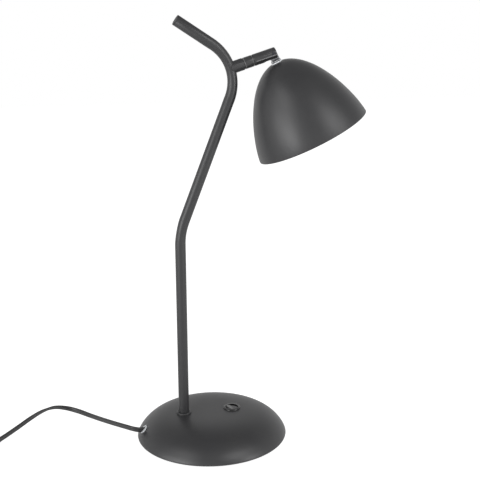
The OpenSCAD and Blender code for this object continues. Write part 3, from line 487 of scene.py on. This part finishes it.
# Flange ring and end plug
# The turned ring covers the stem's foot and has the lamp's coat. The plug is a moulded
# black cap pushed into the tube's free end, with a soft edge and a shallow dish.
ring_profile = [(tube_r + 0.05, 0), (collar_r, 0), (collar_r, 2.5, 0.9),
                (tube_r + 0.9, 2.5, 0.3), (tube_r + 0.05, 2.1)]
piece(lathe(ring_profile), "foot_ring", satin_black, "base", moved(foot_x, 0, seat_z),
      ("foot_collar",))
free_end = moved(stem_end.x, 0, stem_end.y) @ Matrix.Rotation(-lean_back, 4, "Y")
plug_profile = [(0, -7), (4.9, -7), (4.9, 0), (tube_r, 0), (tube_r, 1.3, 0.55),
                (3.4, 1.3, 0.15), (3.1, 1.05, 0.15), (0, 1.05)]
piece(lathe(plug_profile, 64, closed=False), "stem_end_plug", matt_black, "base", free_end,
      ("end_plug",))

# Knuckle stub and collar
# A turned stub is brazed to the outside of the upper bend. The collar is pressed into it and
# never turns; a thin black nylon washer parts it from the sleeve that does.

# Wet-sprayed enamel: glossier than the powder coat, so its edges catch thin bright lines.
knuckle_black = mottled("semi_gloss_black_enamel", (120, 3), ("#2a2a2b", "#323233"),
                        (0.28, 0.38), 0.01, grain=(1200, 2),
                        look={"Coat Weight": 0.15, "Coat Roughness": 0.25})

# Painted highlight: the same enamel in a lighter grey, put on the ribs and edges where thin
# bright lines show.
edge_highlight_paint = mottled("painted_highlight_grey_enamel", (420, 3), ("#4c4c4d", "#8a8a8b"), (0.3, 0.42))

arm_angle = (lean_back - lean_out) / 2
stub_r, stub_end = 6.6, upper_r + tube_r + 9.6
collar_end = stub_end + 10.8
sleeve_start = collar_end + 1
sleeve_end = sleeve_start + 26.3
pivot_at = sleeve_end - 3.8
barrel_r = 6.35
arm_place = moved(upper_centre.x, 0, upper_centre.y) @ Matrix.Rotation(-arm_angle, 4, "Y")
lengthwise = turned("Y", 90)
stub_profile = [(0, 51), (stub_r, 51), (stub_r, stub_end, 0.45), (0, stub_end)]
piece(lathe(stub_profile, 72, closed=False), "arm_stub_brazed", satin_black, "base",
      arm_place @ lengthwise, ("arm_stub",))
collar_profile = [(2.3, stub_end - 8), (4.5, stub_end - 8), (4.5, stub_end),
                  (5.7, stub_end), (5.7, stub_end + 0.8, 0.1), (barrel_r, stub_end + 0.8, 0.5),
                  (barrel_r, collar_end, 0.5), (4.3, collar_end),
                  (4.3, sleeve_start + 10.5), (2.3, sleeve_start + 10.5)]
collar = piece(lathe(collar_profile, 72), "knuckle_collar", knuckle_black, "base",
               arm_place @ lengthwise, ("swivel_collar",))
collar.data.materials.append(edge_highlight_paint)
# The faces round both ends of the collar take the lighter grey: a painted highlight ring at each
# edge.
to_arm = (to_metres @ arm_place).inverted()
for face in collar.data.polygons:
    spot = to_arm @ face.center
    near_end = min(abs(spot.x - collar_end), abs(spot.x - stub_end - 0.8))
    if spot.yz.length > 5.8 and near_end < 0.85:
        face.material_index = 1
washer_profile = [(4.35, collar_end), (5.9, collar_end, 0.1), (5.9, sleeve_start, 0.1),
                  (4.35, sleeve_start)]
piece(lathe(washer_profile, 64), "knuckle_washer", matt_black, "base",
      arm_place @ lengthwise, ("swivel_washer",))

# Knuckle sleeve and pin
# The die-cast sleeve turns on the collar. It is slotted below for the tongue, and where the
# two halves of the die met, a fine rib and a groove run along each cheek. A steel pin with a
# screwdriver slot, blackened in oil, crosses it.

# Blackened steel: dark blue-grey oxide over fine turning marks.
dark_steel = mottled("blackened_steel", (1000, 2), ("#38383b", "#4c4c50"), (0.3, 0.44), 0.006,
                     look={"Metallic": 1.0})


def block(size, centre):
    bm = bmesh.new()
    bmesh.ops.create_cube(bm, size=1, matrix=moved(*centre) @ Matrix.Diagonal((*size, 1)))
    return bm


sleeve_place = arm_place @ moved(pivot_at, 0, 0) @ turned("X", -3.5)
sleeve_back, sleeve_front = sleeve_start - pivot_at, sleeve_end - pivot_at
slot_w, slot_back, slot_roof = 6.2, 9, 4.8
seam_len = 24
seam_mid = sleeve_front - 0.6 - seam_len / 2
sleeve_profile = [(4.35, sleeve_back), (barrel_r, sleeve_back, 0.5),
                  (barrel_r, sleeve_front, 0.9), (0, sleeve_front), (0, sleeve_back + 11),
                  (4.35, sleeve_back + 11), (4.35, sleeve_back)]
sleeve_cuts = [
    block((slot_back + 6, slot_w, 20), ((6 - slot_back) / 2, 0, slot_roof - 10)),
    placed(rod(slot_w / 2, slot_roof - 20, slot_roof, segments=48), moved(-slot_back, 0, 0)),
    placed(rod(2.05, -10, 10, segments=40), turned("X", 90)),
    rod(1.55, -10, -3, sleeve_back + 4.5, segments=32)]
for turn in (-38, 218):
    sleeve_cuts.append(placed(block((seam_len, 2.3, 2.2), (seam_mid, barrel_r, 0)),
                              turned("X", turn)))
sleeve = carved(placed(lathe(sleeve_profile, closed=False), lengthwise), sleeve_cuts, 0.12)
piece(sleeve, "knuckle_sleeve", knuckle_black, "swivel_head", sleeve_place,
      ("swivel_sleeve",), sharp=40)

ribs = [placed(lathe([(0, -seam_len / 2), (0.55, -seam_len / 2, 0.3),
                      (0.55, seam_len / 2, 0.3), (0, seam_len / 2)], 24, closed=False),
               turned("X", turn) @ moved(seam_mid, barrel_r - 0.2, 0) @ lengthwise)
        for turn in (-19, 199)]
# The ribs are coloured in the lighter grey, a painted highlight along each cheek.
piece(joined(*ribs), "knuckle_cheek_ribs", edge_highlight_paint, "swivel_head", sleeve_place, ())
tilt_pin = carved(lathe([(0, -6), (2, -6, 0.3), (2, 6, 0.3), (0, 6)], 48, closed=False),
                  [block((5, 0.6, 1.2), (0, 0, 6))])
piece(tilt_pin, "tilt_pin_slotted", dark_steel, "swivel_head", sleeve_place @ turned("X", 90),
      ("tilt_pin",))

# Tongue and washer
# The bright steel tongue hangs from the pin. Its round shoulder is finely knurled, so that
# it can be gripped, and bears on a milky nylon washer on the shade's top; a threaded shank
# below it goes through the shade.
shade_place = sleeve_place @ turned("Y", 81.5 - 90)
shade_drop, shade_depth, shade_r, shade_wall = 9.9, 91.5, 65.5, 1.0
crown, side_power, flat_r = 2.05, 1.35, 8.6
shade_top = shade_drop + shade_depth * (
    1 - (1 - (flat_r / shade_r) ** crown) ** (1 / side_power))
shoulder_low = shade_top - 1
shoulder_high = 7.75
shoulder_r, teeth = 5.6, 48
thread_len, thread_pitch = 11.6, 1.0

# Turned steel, left bright: mid grey where the knurl dulls it, with mottled fine marks.
bright_steel = mottled("turned_bright_steel", (900, 3), ("#6a6b6d", "#a8a9ab"), (0.18, 0.34),
                       0.012, look={"Metallic": 1.0})

# Natural nylon: milky, so it lets little light through, and shows no grain.
milky_nylon = mottled("natural_milky_nylon", (300, 2), ("#e6e9ec", "#f6f8fa"), (0.12, 0.22),
                      0.01, look={"Transmission Weight": 0.1, "IOR": 1.53})


def rippled(bm, new_r):
    """Push each point in or out from Z to the radius that new_r(radius, angle, z) gives."""
    for vert in bm.verts:
        x, y, z = vert.co
        r, a = sqrt(x * x + y * y), atan2(y, x)
        if r > 0.01:
            vert.co.x, vert.co.y = new_r(r, a, z) * cos(a), new_r(r, a, z) * sin(a)
    return bm


def knurl_r(r, a, z):
    return r * (1 - 0.045 * (round(a * teeth / pi) % 2)) if r > 5 else r


def thread_r(r, a, z):
    return r + 0.15 * sin(2 * pi * z / thread_pitch - a)


head = [(4.5 * cos(radians(a)), 4.5 * sin(radians(a))) for a in range(0, 181, 10)]
head += [(-4.5, -shoulder_high - 0.4), (4.5, -shoulder_high - 0.4)]
blade = sweep(head, [moved(0, 0, z) @ Matrix.Diagonal((s, s, 1, 1)) for z, s in
                     ((-2.7, 0.94), (-2.45, 1), (2.45, 1), (2.7, 0.94))])
shoulder = lathe([(0, -shoulder_low), (4.7, -shoulder_low), (4.7, -shoulder_low + 0.45),
                  (shoulder_r, -shoulder_low + 0.45, 0.15), (shoulder_r, -shoulder_high, 0.35),
                  (0, -shoulder_high)], 2 * teeth, closed=False)
shank = lathe([(0, -shoulder_low - 0.1)]
              + [(3.8, -shoulder_low - 0.1 - thread_len * i / 100) for i in range(101)]
              + [(0, -shoulder_low - 0.1 - thread_len)], 40, closed=False)
piece(joined(placed(blade, turned("X", 90)), rippled(shoulder, knurl_r),
             rippled(shank, thread_r)),
      "tongue_and_screw", bright_steel, "shade_head", shade_place, ("tilt_tongue",),
      sharp=28)
top_washer = [(4.1, -shade_top), (6.4, -shade_top, 0.2), (6.4, -shoulder_low, 0.4),
              (4.1, -shoulder_low)]
piece(lathe(top_washer, 72), "shade_top_washer", milky_nylon, "shade_head", shade_place,
      ("shade_washer",))

# Shade
# A bell spun from 1 mm steel sheet on a former, with its mouth's edge rounded over. It is
# satin black outside, like the stem, and sprayed white inside to throw the light down.

# White stove enamel: warm white and even, with a slight orange peel.
shade_white = mottled("warm_white_enamel", (50, 3), ("#e2e0da", "#ebe9e4"), (0.44, 0.54),
                      0.016, grain=(900, 2))


def bell_skin(inset, from_r, steps=80):
    """The bell's profile from a radius near its top down to its mouth."""
    half = shade_r - inset
    start = asin((from_r / half) ** (crown / 2))
    angles = [start + (pi / 2 - start) * i / steps for i in range(steps + 1)]
    return [(half * sin(a) ** (2 / crown),
             -(shade_drop + inset + (shade_depth - inset) * (1 - cos(a) ** (2 / side_power))))
            for a in angles]


outside = bell_skin(0, flat_r)
inside = [(r, min(z, -shade_top - shade_wall)) for r, z in bell_skin(shade_wall, flat_r - 0.4)]
mouth = outside[-1][1]
edge = [(shade_r - 0.02, mouth + 0.3), (shade_r - 0.12, mouth + 0.1), (shade_r - 0.35, mouth),
        (shade_r - 0.65, mouth), (shade_r - 0.88, mouth + 0.1), (shade_r - 0.98, mouth + 0.3)]
bell = ([(4.1, -shade_top), (flat_r - 1.2, -shade_top)] + outside[:-1] + edge
        + list(reversed(inside[:-1])) + [(4.1, -shade_top - shade_wall)])
shade_bell = piece(lathe(bell, 192), "shade_bell", satin_black, "shade_head", shade_place,
                   ("shade",), sharp=50)
shade_bell.data.materials.append(shade_white)
to_shade = (to_metres @ shade_place).inverted()
for face in shade_bell.data.polygons:
    spot = to_shade @ face.center
    # The white side's faces look towards the bell's middle, or down where it is flat.
    facing = (to_shade.to_3x3() @ face.normal).normalized()
    radial = Vector((spot.x, spot.y)).normalized()
    lowest_edge = spot.z < mouth + 0.6
    if not lowest_edge and facing.x * radial.x + facing.y * radial.y + facing.z * 0.6 < 0:
        face.material_index = 1

# Lampholder
# A small black phenolic lampholder hangs under the shade's nut: a two-part body whose skirt
# is fluted for grip, round a white core with brass parts.
holder_top = shade_top + shade_wall + 1 + 3 + 0.15
core_low = holder_top + 9.2 + 4.5
bulb_top = core_low + 2
skirt_end = bulb_top + 16
holder_r, shell_r, flutes = 13.5, 7.55, 12


def flute_r(r, a, z):
    if r > 12.7 and -skirt_end + 1.5 < z < -core_low - 2.7:
        return r - 0.35 * (1 - abs(cos(flutes / 2 * a)))
    return r


skirt_profile = [(holder_r, -core_low - 2.2), (holder_r, -core_low - 3.2),
                 (holder_r, -skirt_end + 2), (holder_r, -skirt_end + 1), (12.6, -skirt_end),
                 (shell_r, -skirt_end), (shell_r, -core_low - 0.1), (11.7, -core_low - 0.1),
                 (11.7, -core_low - 2.2)]
piece(rippled(lathe(skirt_profile, 144), flute_r), "holder_skirt", matt_black, "shade_head",
      shade_place, ("holder_body",), sharp=40)

# Bulb
# A small globe bulb in opal glass, blown and fused to a nickelled brass cap whose thread is
# rolled in the sheet.
glass_top = bulb_top + 0.8 + 1.4 + 15.3
cap_len, cap_pitch = 15.3, 2.82


def cap_r(r, a, z):
    up = z + glass_top
    swell = max(min(1, (cap_len - up) / 1.3, up / 3), 0)
    return r + 0.33 * swell * sin(2 * pi * -z / cap_pitch - a)


cap = lathe([(0, -glass_top + cap_len)]
            + [(6.5 + (0.3 if i > 100 else 0), -glass_top + cap_len - cap_len * i / 120)
               for i in range(121)] + [(0, -glass_top)], 72, closed=False)
piece(rippled(cap, cap_r), "bulb_screw_cap", nickel, "shade_head", shade_place, ("bulb_cap",))

# Opal glass: white all through and shiny, and light spreads a few millimetres inside it.
opal = mottled("opal_glass", (120, 2), ("#f1efe8", "#f7f6f1"), (0.12, 0.2), 0.01,
               look={"Subsurface Weight": 0.35, "Subsurface Radius": (4 * MM, 4 * MM, 4 * MM)})

globe_r = 22.5
globe_z = bulb_top + 68 - globe_r
neck_meets = 34
globe = [(0, -glass_top), (6.85, -glass_top), (6.9, -glass_top - 1.5, 0.5),
         (7.3, -glass_top - 3.5, 1), (8.6, -glass_top - 6, 1.5)]
globe += [(globe_r * sin(radians(a)), -globe_z + globe_r * cos(radians(a)))
          for a in range(neck_meets, 181, 3)]
piece(lathe(globe, 96, closed=False), "bulb_globe", opal, "shade_head", shade_place,
      ("bulb_glass",), sharp=60)

# Switch
# A round snap-in rocker switch, all in glossy black nylon. Its housing has a raised ring
# round a well; the rocker is dished, dips to a crease across its middle, and is pressed on
# the right.

# Polished moulded nylon: a clear, sharp gloss over a nearly black body.
gloss_black = mottled("gloss_black_nylon", (250, 3), ("#161617", "#1e1e1f"), (0.14, 0.24),
                      0.008, look={"IOR": 1.53})

bezel_top = 1.8
housing = [(7.25, bezel_top, 0.75), (bezel_r, bezel_top, 1.2), (bezel_r, 0), (cup_r, 0),
           (cup_r, -14, 0.5), (0, -14), (0, -12.5), (7.6, -12.5), (7.6, bezel_top - 1.4),
           (7.25, bezel_top - 1)]
piece(lathe(housing, closed=False), "switch_body", gloss_black, "base",
      moved(switch_x, 0, switch_seat), ("switch_housing",))
rocker_r, rocker_top, rocker_lift, crease_soft = 6.8, 1.9, 1.2, 0.9
rocker = lathe([(0, rocker_top)] + [(0.5 * i, rocker_top) for i in range(1, 12)]
               + [(rocker_r, rocker_top, 0.8), (rocker_r, -2.8), (6, -5.8), (0, -5.8)],
               72, closed=False)
for vert in rocker.verts:
    x, y, z = vert.co
    if z > 0:
        vert.co.z += rocker_lift * (sqrt(x * x + crease_soft ** 2) - crease_soft) / rocker_r
    elif z < -4:
        vert.co.x *= 0.43
axle = placed(rod(1, -8.5, 8.5, segments=24), turned("X", 90))
piece(joined(rocker, axle), "switch_rocker_dished", gloss_black, "rocker",
      moved(switch_x, 0, switch_seat - 1) @ turned("Y", 10), ("switch_rocker",),
      sharp=40)

# Cord bushing
# A clear vinyl bushing snapped into the hole in the dome's side. Its flange is soft-edged
# and its slot is as wide as the flat cord, which is why it shows bright round the cord.

# Clear vinyl: faintly clouded, lets about half the light through, and shows no grain.
clear_plastic = mottled("clear_soft_plastic", (300, 2), ("#e6e9ec", "#f6f8fa"), (0.12, 0.22),
                        0.01, look={"Transmission Weight": 0.45, "IOR": 1.46})

bushing = [(0, 1.2), (5.2, 1.2, 0.5), (5.2, 0, 0.15), (4.7, 0), (4.7, -1.7),
           (5.1, -2.7, 0.2), (0, -2.7)]
slot_len, slot_t = 8.6, 4.2
slot_cuts = [block((slot_len - slot_t, slot_t, 12), (0, 0, 0))]
for x in (-(slot_len - slot_t) / 2, (slot_len - slot_t) / 2):
    slot_cuts.append(rod(slot_t / 2, -6, 6, x, segments=40))
piece(carved(lathe(bushing, 72, closed=False), slot_cuts, 0.25), "cord_bushing_clear",
      clear_plastic, "base", exit_place, ("cord_bushing",), sharp=40)

# Plate screws
# Three cross-recessed screws, headed from steel wire and zinc plated, hold the steel plate
# under the base. Their heads sit in holes in the pad.

# Bright zinc plate: blue-grey, with a faint spangle about a millimetre across.
zinc = mottled("bright_zinc_plate", (830, 3), ("#a6a8ac", "#c6c8cb"), (0.24, 0.38), 0.006,
               look={"Metallic": 1.0})

screw_ring_r = 62
screws = []
for angle in (0, 120, 240):
    shank = lathe([(0, 0.3), (3.5, 0.3, 0.5), (3.5, 1.5), (2, 1.5), (2, 11, 0.5), (0, 11)],
                  40, closed=False)
    cross = [block((4.2, 0.8, 1.6), (0, 0, 0.3)), block((0.8, 4.2, 1.6), (0, 0, 0.3))]
    screws.append(placed(carved(shank, cross), turned("Z", angle) @ moved(screw_ring_r, 0, 0)))
piece(joined(*screws), "plate_screw_set", zinc, "base", replaces=("plate_screws",))

# Fixings that keep their frame shape
# Stamped and turned steel parts: the base's plate, and the nuts and washers of the foot, the
# shade, the cord clamp and the knuckle. All are zinc plated.


def finish(material, *names):
    """Give parts that keep their frame shape their finish."""
    for name in names:
        nodes[name].data.materials.clear()
        nodes[name].data.materials.append(material)


finish(zinc, "base_plate", "foot_washer", "foot_nut", "inner_washer", "shade_nut",
       "clamp_screw", "tilt_washers")
finish(dark_steel, "swivel_stop_screw")
finish(nickel, "bulb_tip")
finish(matt_black, "holder_cap")
finish(cord_black, "cord_tail")

# Weight and pad
# The weight is grey iron, cast in sand and left raw. The pad is a disc of black foam glued
# under the plate, with holes for its screws, so that the base doesn't scratch the table.

# Sand casting: dull dark grey, with a rough skin of a millimetre or two.
raw_iron = mottled("raw_cast_iron", (90, 4), ("#464648", "#605d5a"), (0.65, 0.8), 0.15,
                   grain=(620, 3))
finish(raw_iron, "base_weight")

# Closed-cell foam: soft black, and pitted by cells of half a millimetre.
foam, tree = new_material("black_foam")
spot = add_node(tree, "ShaderNodeTexCoord").outputs["Object"]
cells = add_node(tree, "ShaderNodeTexVoronoi", {"Scale": 1800},
                 {"Vector": spot}).outputs["Distance"]
tint = add_node(tree, "ShaderNodeMixRGB", {"Color1": linear("#161617"),
                "Color2": linear("#2c2c2d")}, {"Fac": cells})
sheen = add_node(tree, "ShaderNodeMapRange", {"To Min": 0.8, "To Max": 0.95}, {"Value": cells})
relief = add_node(tree, "ShaderNodeBump", {"Distance": 0.2 * MM}, {"Height": cells})
skin = add_node(tree, "ShaderNodeBsdfPrincipled", {}, {
    "Base Color": tint.outputs["Color"], "Roughness": sheen.outputs["Result"],
    "Normal": relief.outputs["Normal"]})
add_node(tree, "ShaderNodeOutputMaterial", {}, {"Surface": skin.outputs["BSDF"]})
finish(foam, "base_pad")

# Brass parts
# The hollow nipple that holds the stem's foot, the lampholder's shell and contact, and the
# switch's terminals are turned or pressed from brass and left plain.

# Plain brass, lightly aged: warm yellow, with duller spots where it was touched.
brass = mottled("plain_brass", (500, 4), ("#ac8c48", "#d2b66e"), (0.22, 0.42), 0.006,
                look={"Metallic": 1.0})
finish(brass, "foot_nipple", "holder_contact", "holder_shell", "switch_terminals")

# Wiring
# The lamp's own cable, the lampholder's core, the terminal block and the cord's clamp are
# moulded or extruded in white plastic. The switch's leads are brown, and the bulb's tip sits
# in black glass.

# White nylon: slightly warm, and dull where it left the mould.
white_plastic = mottled("white_nylon", (170, 3), ("#d6d3c8", "#e4e2da"), (0.35, 0.47), 0.01)
finish(white_plastic, "lamp_cable", "holder_core", "terminal_block", "cord_clamp")

# Brown PVC insulation: smooth, with a soft shine.
brown_lead = mottled("brown_pvc_insulation", (170, 3), ("#593220", "#6c402a"), (0.35, 0.47))
finish(brown_lead, "switch_leads")

# Fused black glass: very dark, with a deep shine and tiny ripples.
black_glass = mottled("fused_black_glass", (600, 2), ("#0b0b0c", "#131314"), (0.08, 0.16),
                      0.02, look={"IOR": 1.52})
finish(black_glass, "bulb_insulator")

# Floor
# A plain white sweep of paper. The camera and glass see it lit to white, with the lamp's own
# soft shadow on it; metal and paint mirror a half-way mix of that and bare paper, and all
# other light meets the bare paper.
floor_half, floor_drop, mirrored_share = 4, 0.0002, 0.5
floor_mesh = bpy.data.meshes.new("floor")
floor_sheet = bmesh.new()
bmesh.ops.create_grid(floor_sheet, x_segments=1, y_segments=1, size=floor_half)
floor_sheet.to_mesh(floor_mesh)
floor_sheet.free()
floor = bpy.data.objects.new("floor", floor_mesh)
floor.location = (0, 0, -floor_drop)
bpy.context.scene.collection.objects.link(floor)
floor_white, tree = new_material("white_paper_floor")
rays = add_node(tree, "ShaderNodeLightPath").outputs
mirrored = add_node(tree, "ShaderNodeMath", {"operation": "MULTIPLY"},
                    {0: rays["Is Glossy Ray"]})
mirrored.inputs[1].default_value = mirrored_share
clear = add_node(tree, "ShaderNodeMath", {"operation": "MAXIMUM"},
                 {0: rays["Is Camera Ray"], 1: rays["Is Transmission Ray"]})
seen = add_node(tree, "ShaderNodeMath", {"operation": "MAXIMUM"},
                {0: clear.outputs["Value"], 1: mirrored.outputs["Value"]})
paper = add_node(tree, "ShaderNodeBsdfDiffuse", {"Color": linear("#e6e6e6")})
faint = add_node(tree, "ShaderNodeBsdfDiffuse", {"Color": linear("#a8a8a8")})
glow = add_node(tree, "ShaderNodeEmission", {"Color": (1, 1, 1, 1), "Strength": 0.9})
lit = add_node(tree, "ShaderNodeAddShader", {},
               {0: faint.outputs["BSDF"], 1: glow.outputs["Emission"]})
choose = add_node(tree, "ShaderNodeMixShader", {}, {
    0: seen.outputs["Value"], 1: paper.outputs["BSDF"], 2: lit.outputs["Shader"]})
add_node(tree, "ShaderNodeOutputMaterial", {}, {"Surface": choose.outputs["Shader"]})
floor.data.materials.append(floor_white)

# Room
# A studio with a white backdrop, pale walls and a greyer ceiling. The camera sees the
# backdrop's white everywhere; metal and glass see it from the floor up to its top, and the
# room above it.
room = bpy.data.worlds.new("studio")
bpy.context.scene.world = room
room.use_nodes = True
tree = room.node_tree
tree.nodes.clear()
direction = add_node(tree, "ShaderNodeTexCoord").outputs["Generated"]
height = add_node(tree, "ShaderNodeSeparateXYZ", {}, {"Vector": direction}).outputs["Z"]
levels = add_node(tree, "ShaderNodeValToRGB", {}, {"Fac": height})
stops = levels.color_ramp.elements
stops[0].position, stops[0].color = 0.0, (0.3, 0.3, 0.3, 1)
stops[1].position, stops[1].color = 1.0, (0.38, 0.38, 0.38, 1)
for position, grey in ((0.1, 0.4), (0.15, 0.95), (0.33, 0.92), (0.4, 0.62), (0.62, 0.56),
                       (0.7, 0.4)):
    stops.new(position).color = (grey, grey, grey, 1)
light = add_node(tree, "ShaderNodeBackground", {"Strength": 1.0},
                 {"Color": levels.outputs["Color"]})
white = add_node(tree, "ShaderNodeBackground", {"Color": (1, 1, 1, 1), "Strength": 1.0})
rays = add_node(tree, "ShaderNodeLightPath").outputs
shiny = add_node(tree, "ShaderNodeMath", {"operation": "MAXIMUM"},
                 {0: rays["Is Glossy Ray"], 1: rays["Is Transmission Ray"]})
backdrop = add_node(tree, "ShaderNodeMapRange", {"From Min": 0.08, "From Max": 0.04},
                    {"Value": height})
mirrored = add_node(tree, "ShaderNodeMath", {"operation": "MULTIPLY"},
                    {0: shiny.outputs["Value"], 1: backdrop.outputs["Result"]})
seen = add_node(tree, "ShaderNodeMath", {"operation": "MAXIMUM"},
                {0: rays["Is Camera Ray"], 1: mirrored.outputs["Value"]})
pick = add_node(tree, "ShaderNodeMixShader", {}, {
    0: seen.outputs["Value"], 1: light.outputs["Background"], 2: white.outputs["Background"]})
add_node(tree, "ShaderNodeOutputWorld", {}, {"Surface": pick.outputs["Shader"]})

# Lamps
# Square soft boxes stand in a ring round the front of the lamp: low ones left and right at
# the height of the stem, and weaker ones above them. Azimuths are from the front towards the
# right, in degrees; powers are in watts.
ring_centre, ring_r, box_side = Vector((0.05, 0, 0.25)), 1.8, 0.6
for name, azimuth, rise, power in (
        ("left_low", -55, 5, 9), ("left_side", -75, 5, 4.3), ("left_high", -55, 35, 3.2),
        ("side_high", -75, 35, 1.8), ("right_low", 45, 5, 7.6), ("right_high", 25, 35, 5.6),
        ("right_side", 45, 35, 3)):
    box = bpy.data.lights.new(name, "AREA")
    box.shape, box.size, box.energy = "SQUARE", box_side, power
    stand = bpy.data.objects.new(name, box)
    aim = Vector((sin(radians(azimuth)) * cos(radians(rise)),
                  -cos(radians(azimuth)) * cos(radians(rise)), sin(radians(rise))))
    stand.location = ring_centre + aim * ring_r
    stand.rotation_euler = aim.to_track_quat("Z", "Y").to_euler()
    bpy.context.scene.collection.objects.link(stand)

bpy.context.scene.view_settings.view_transform = "Standard"
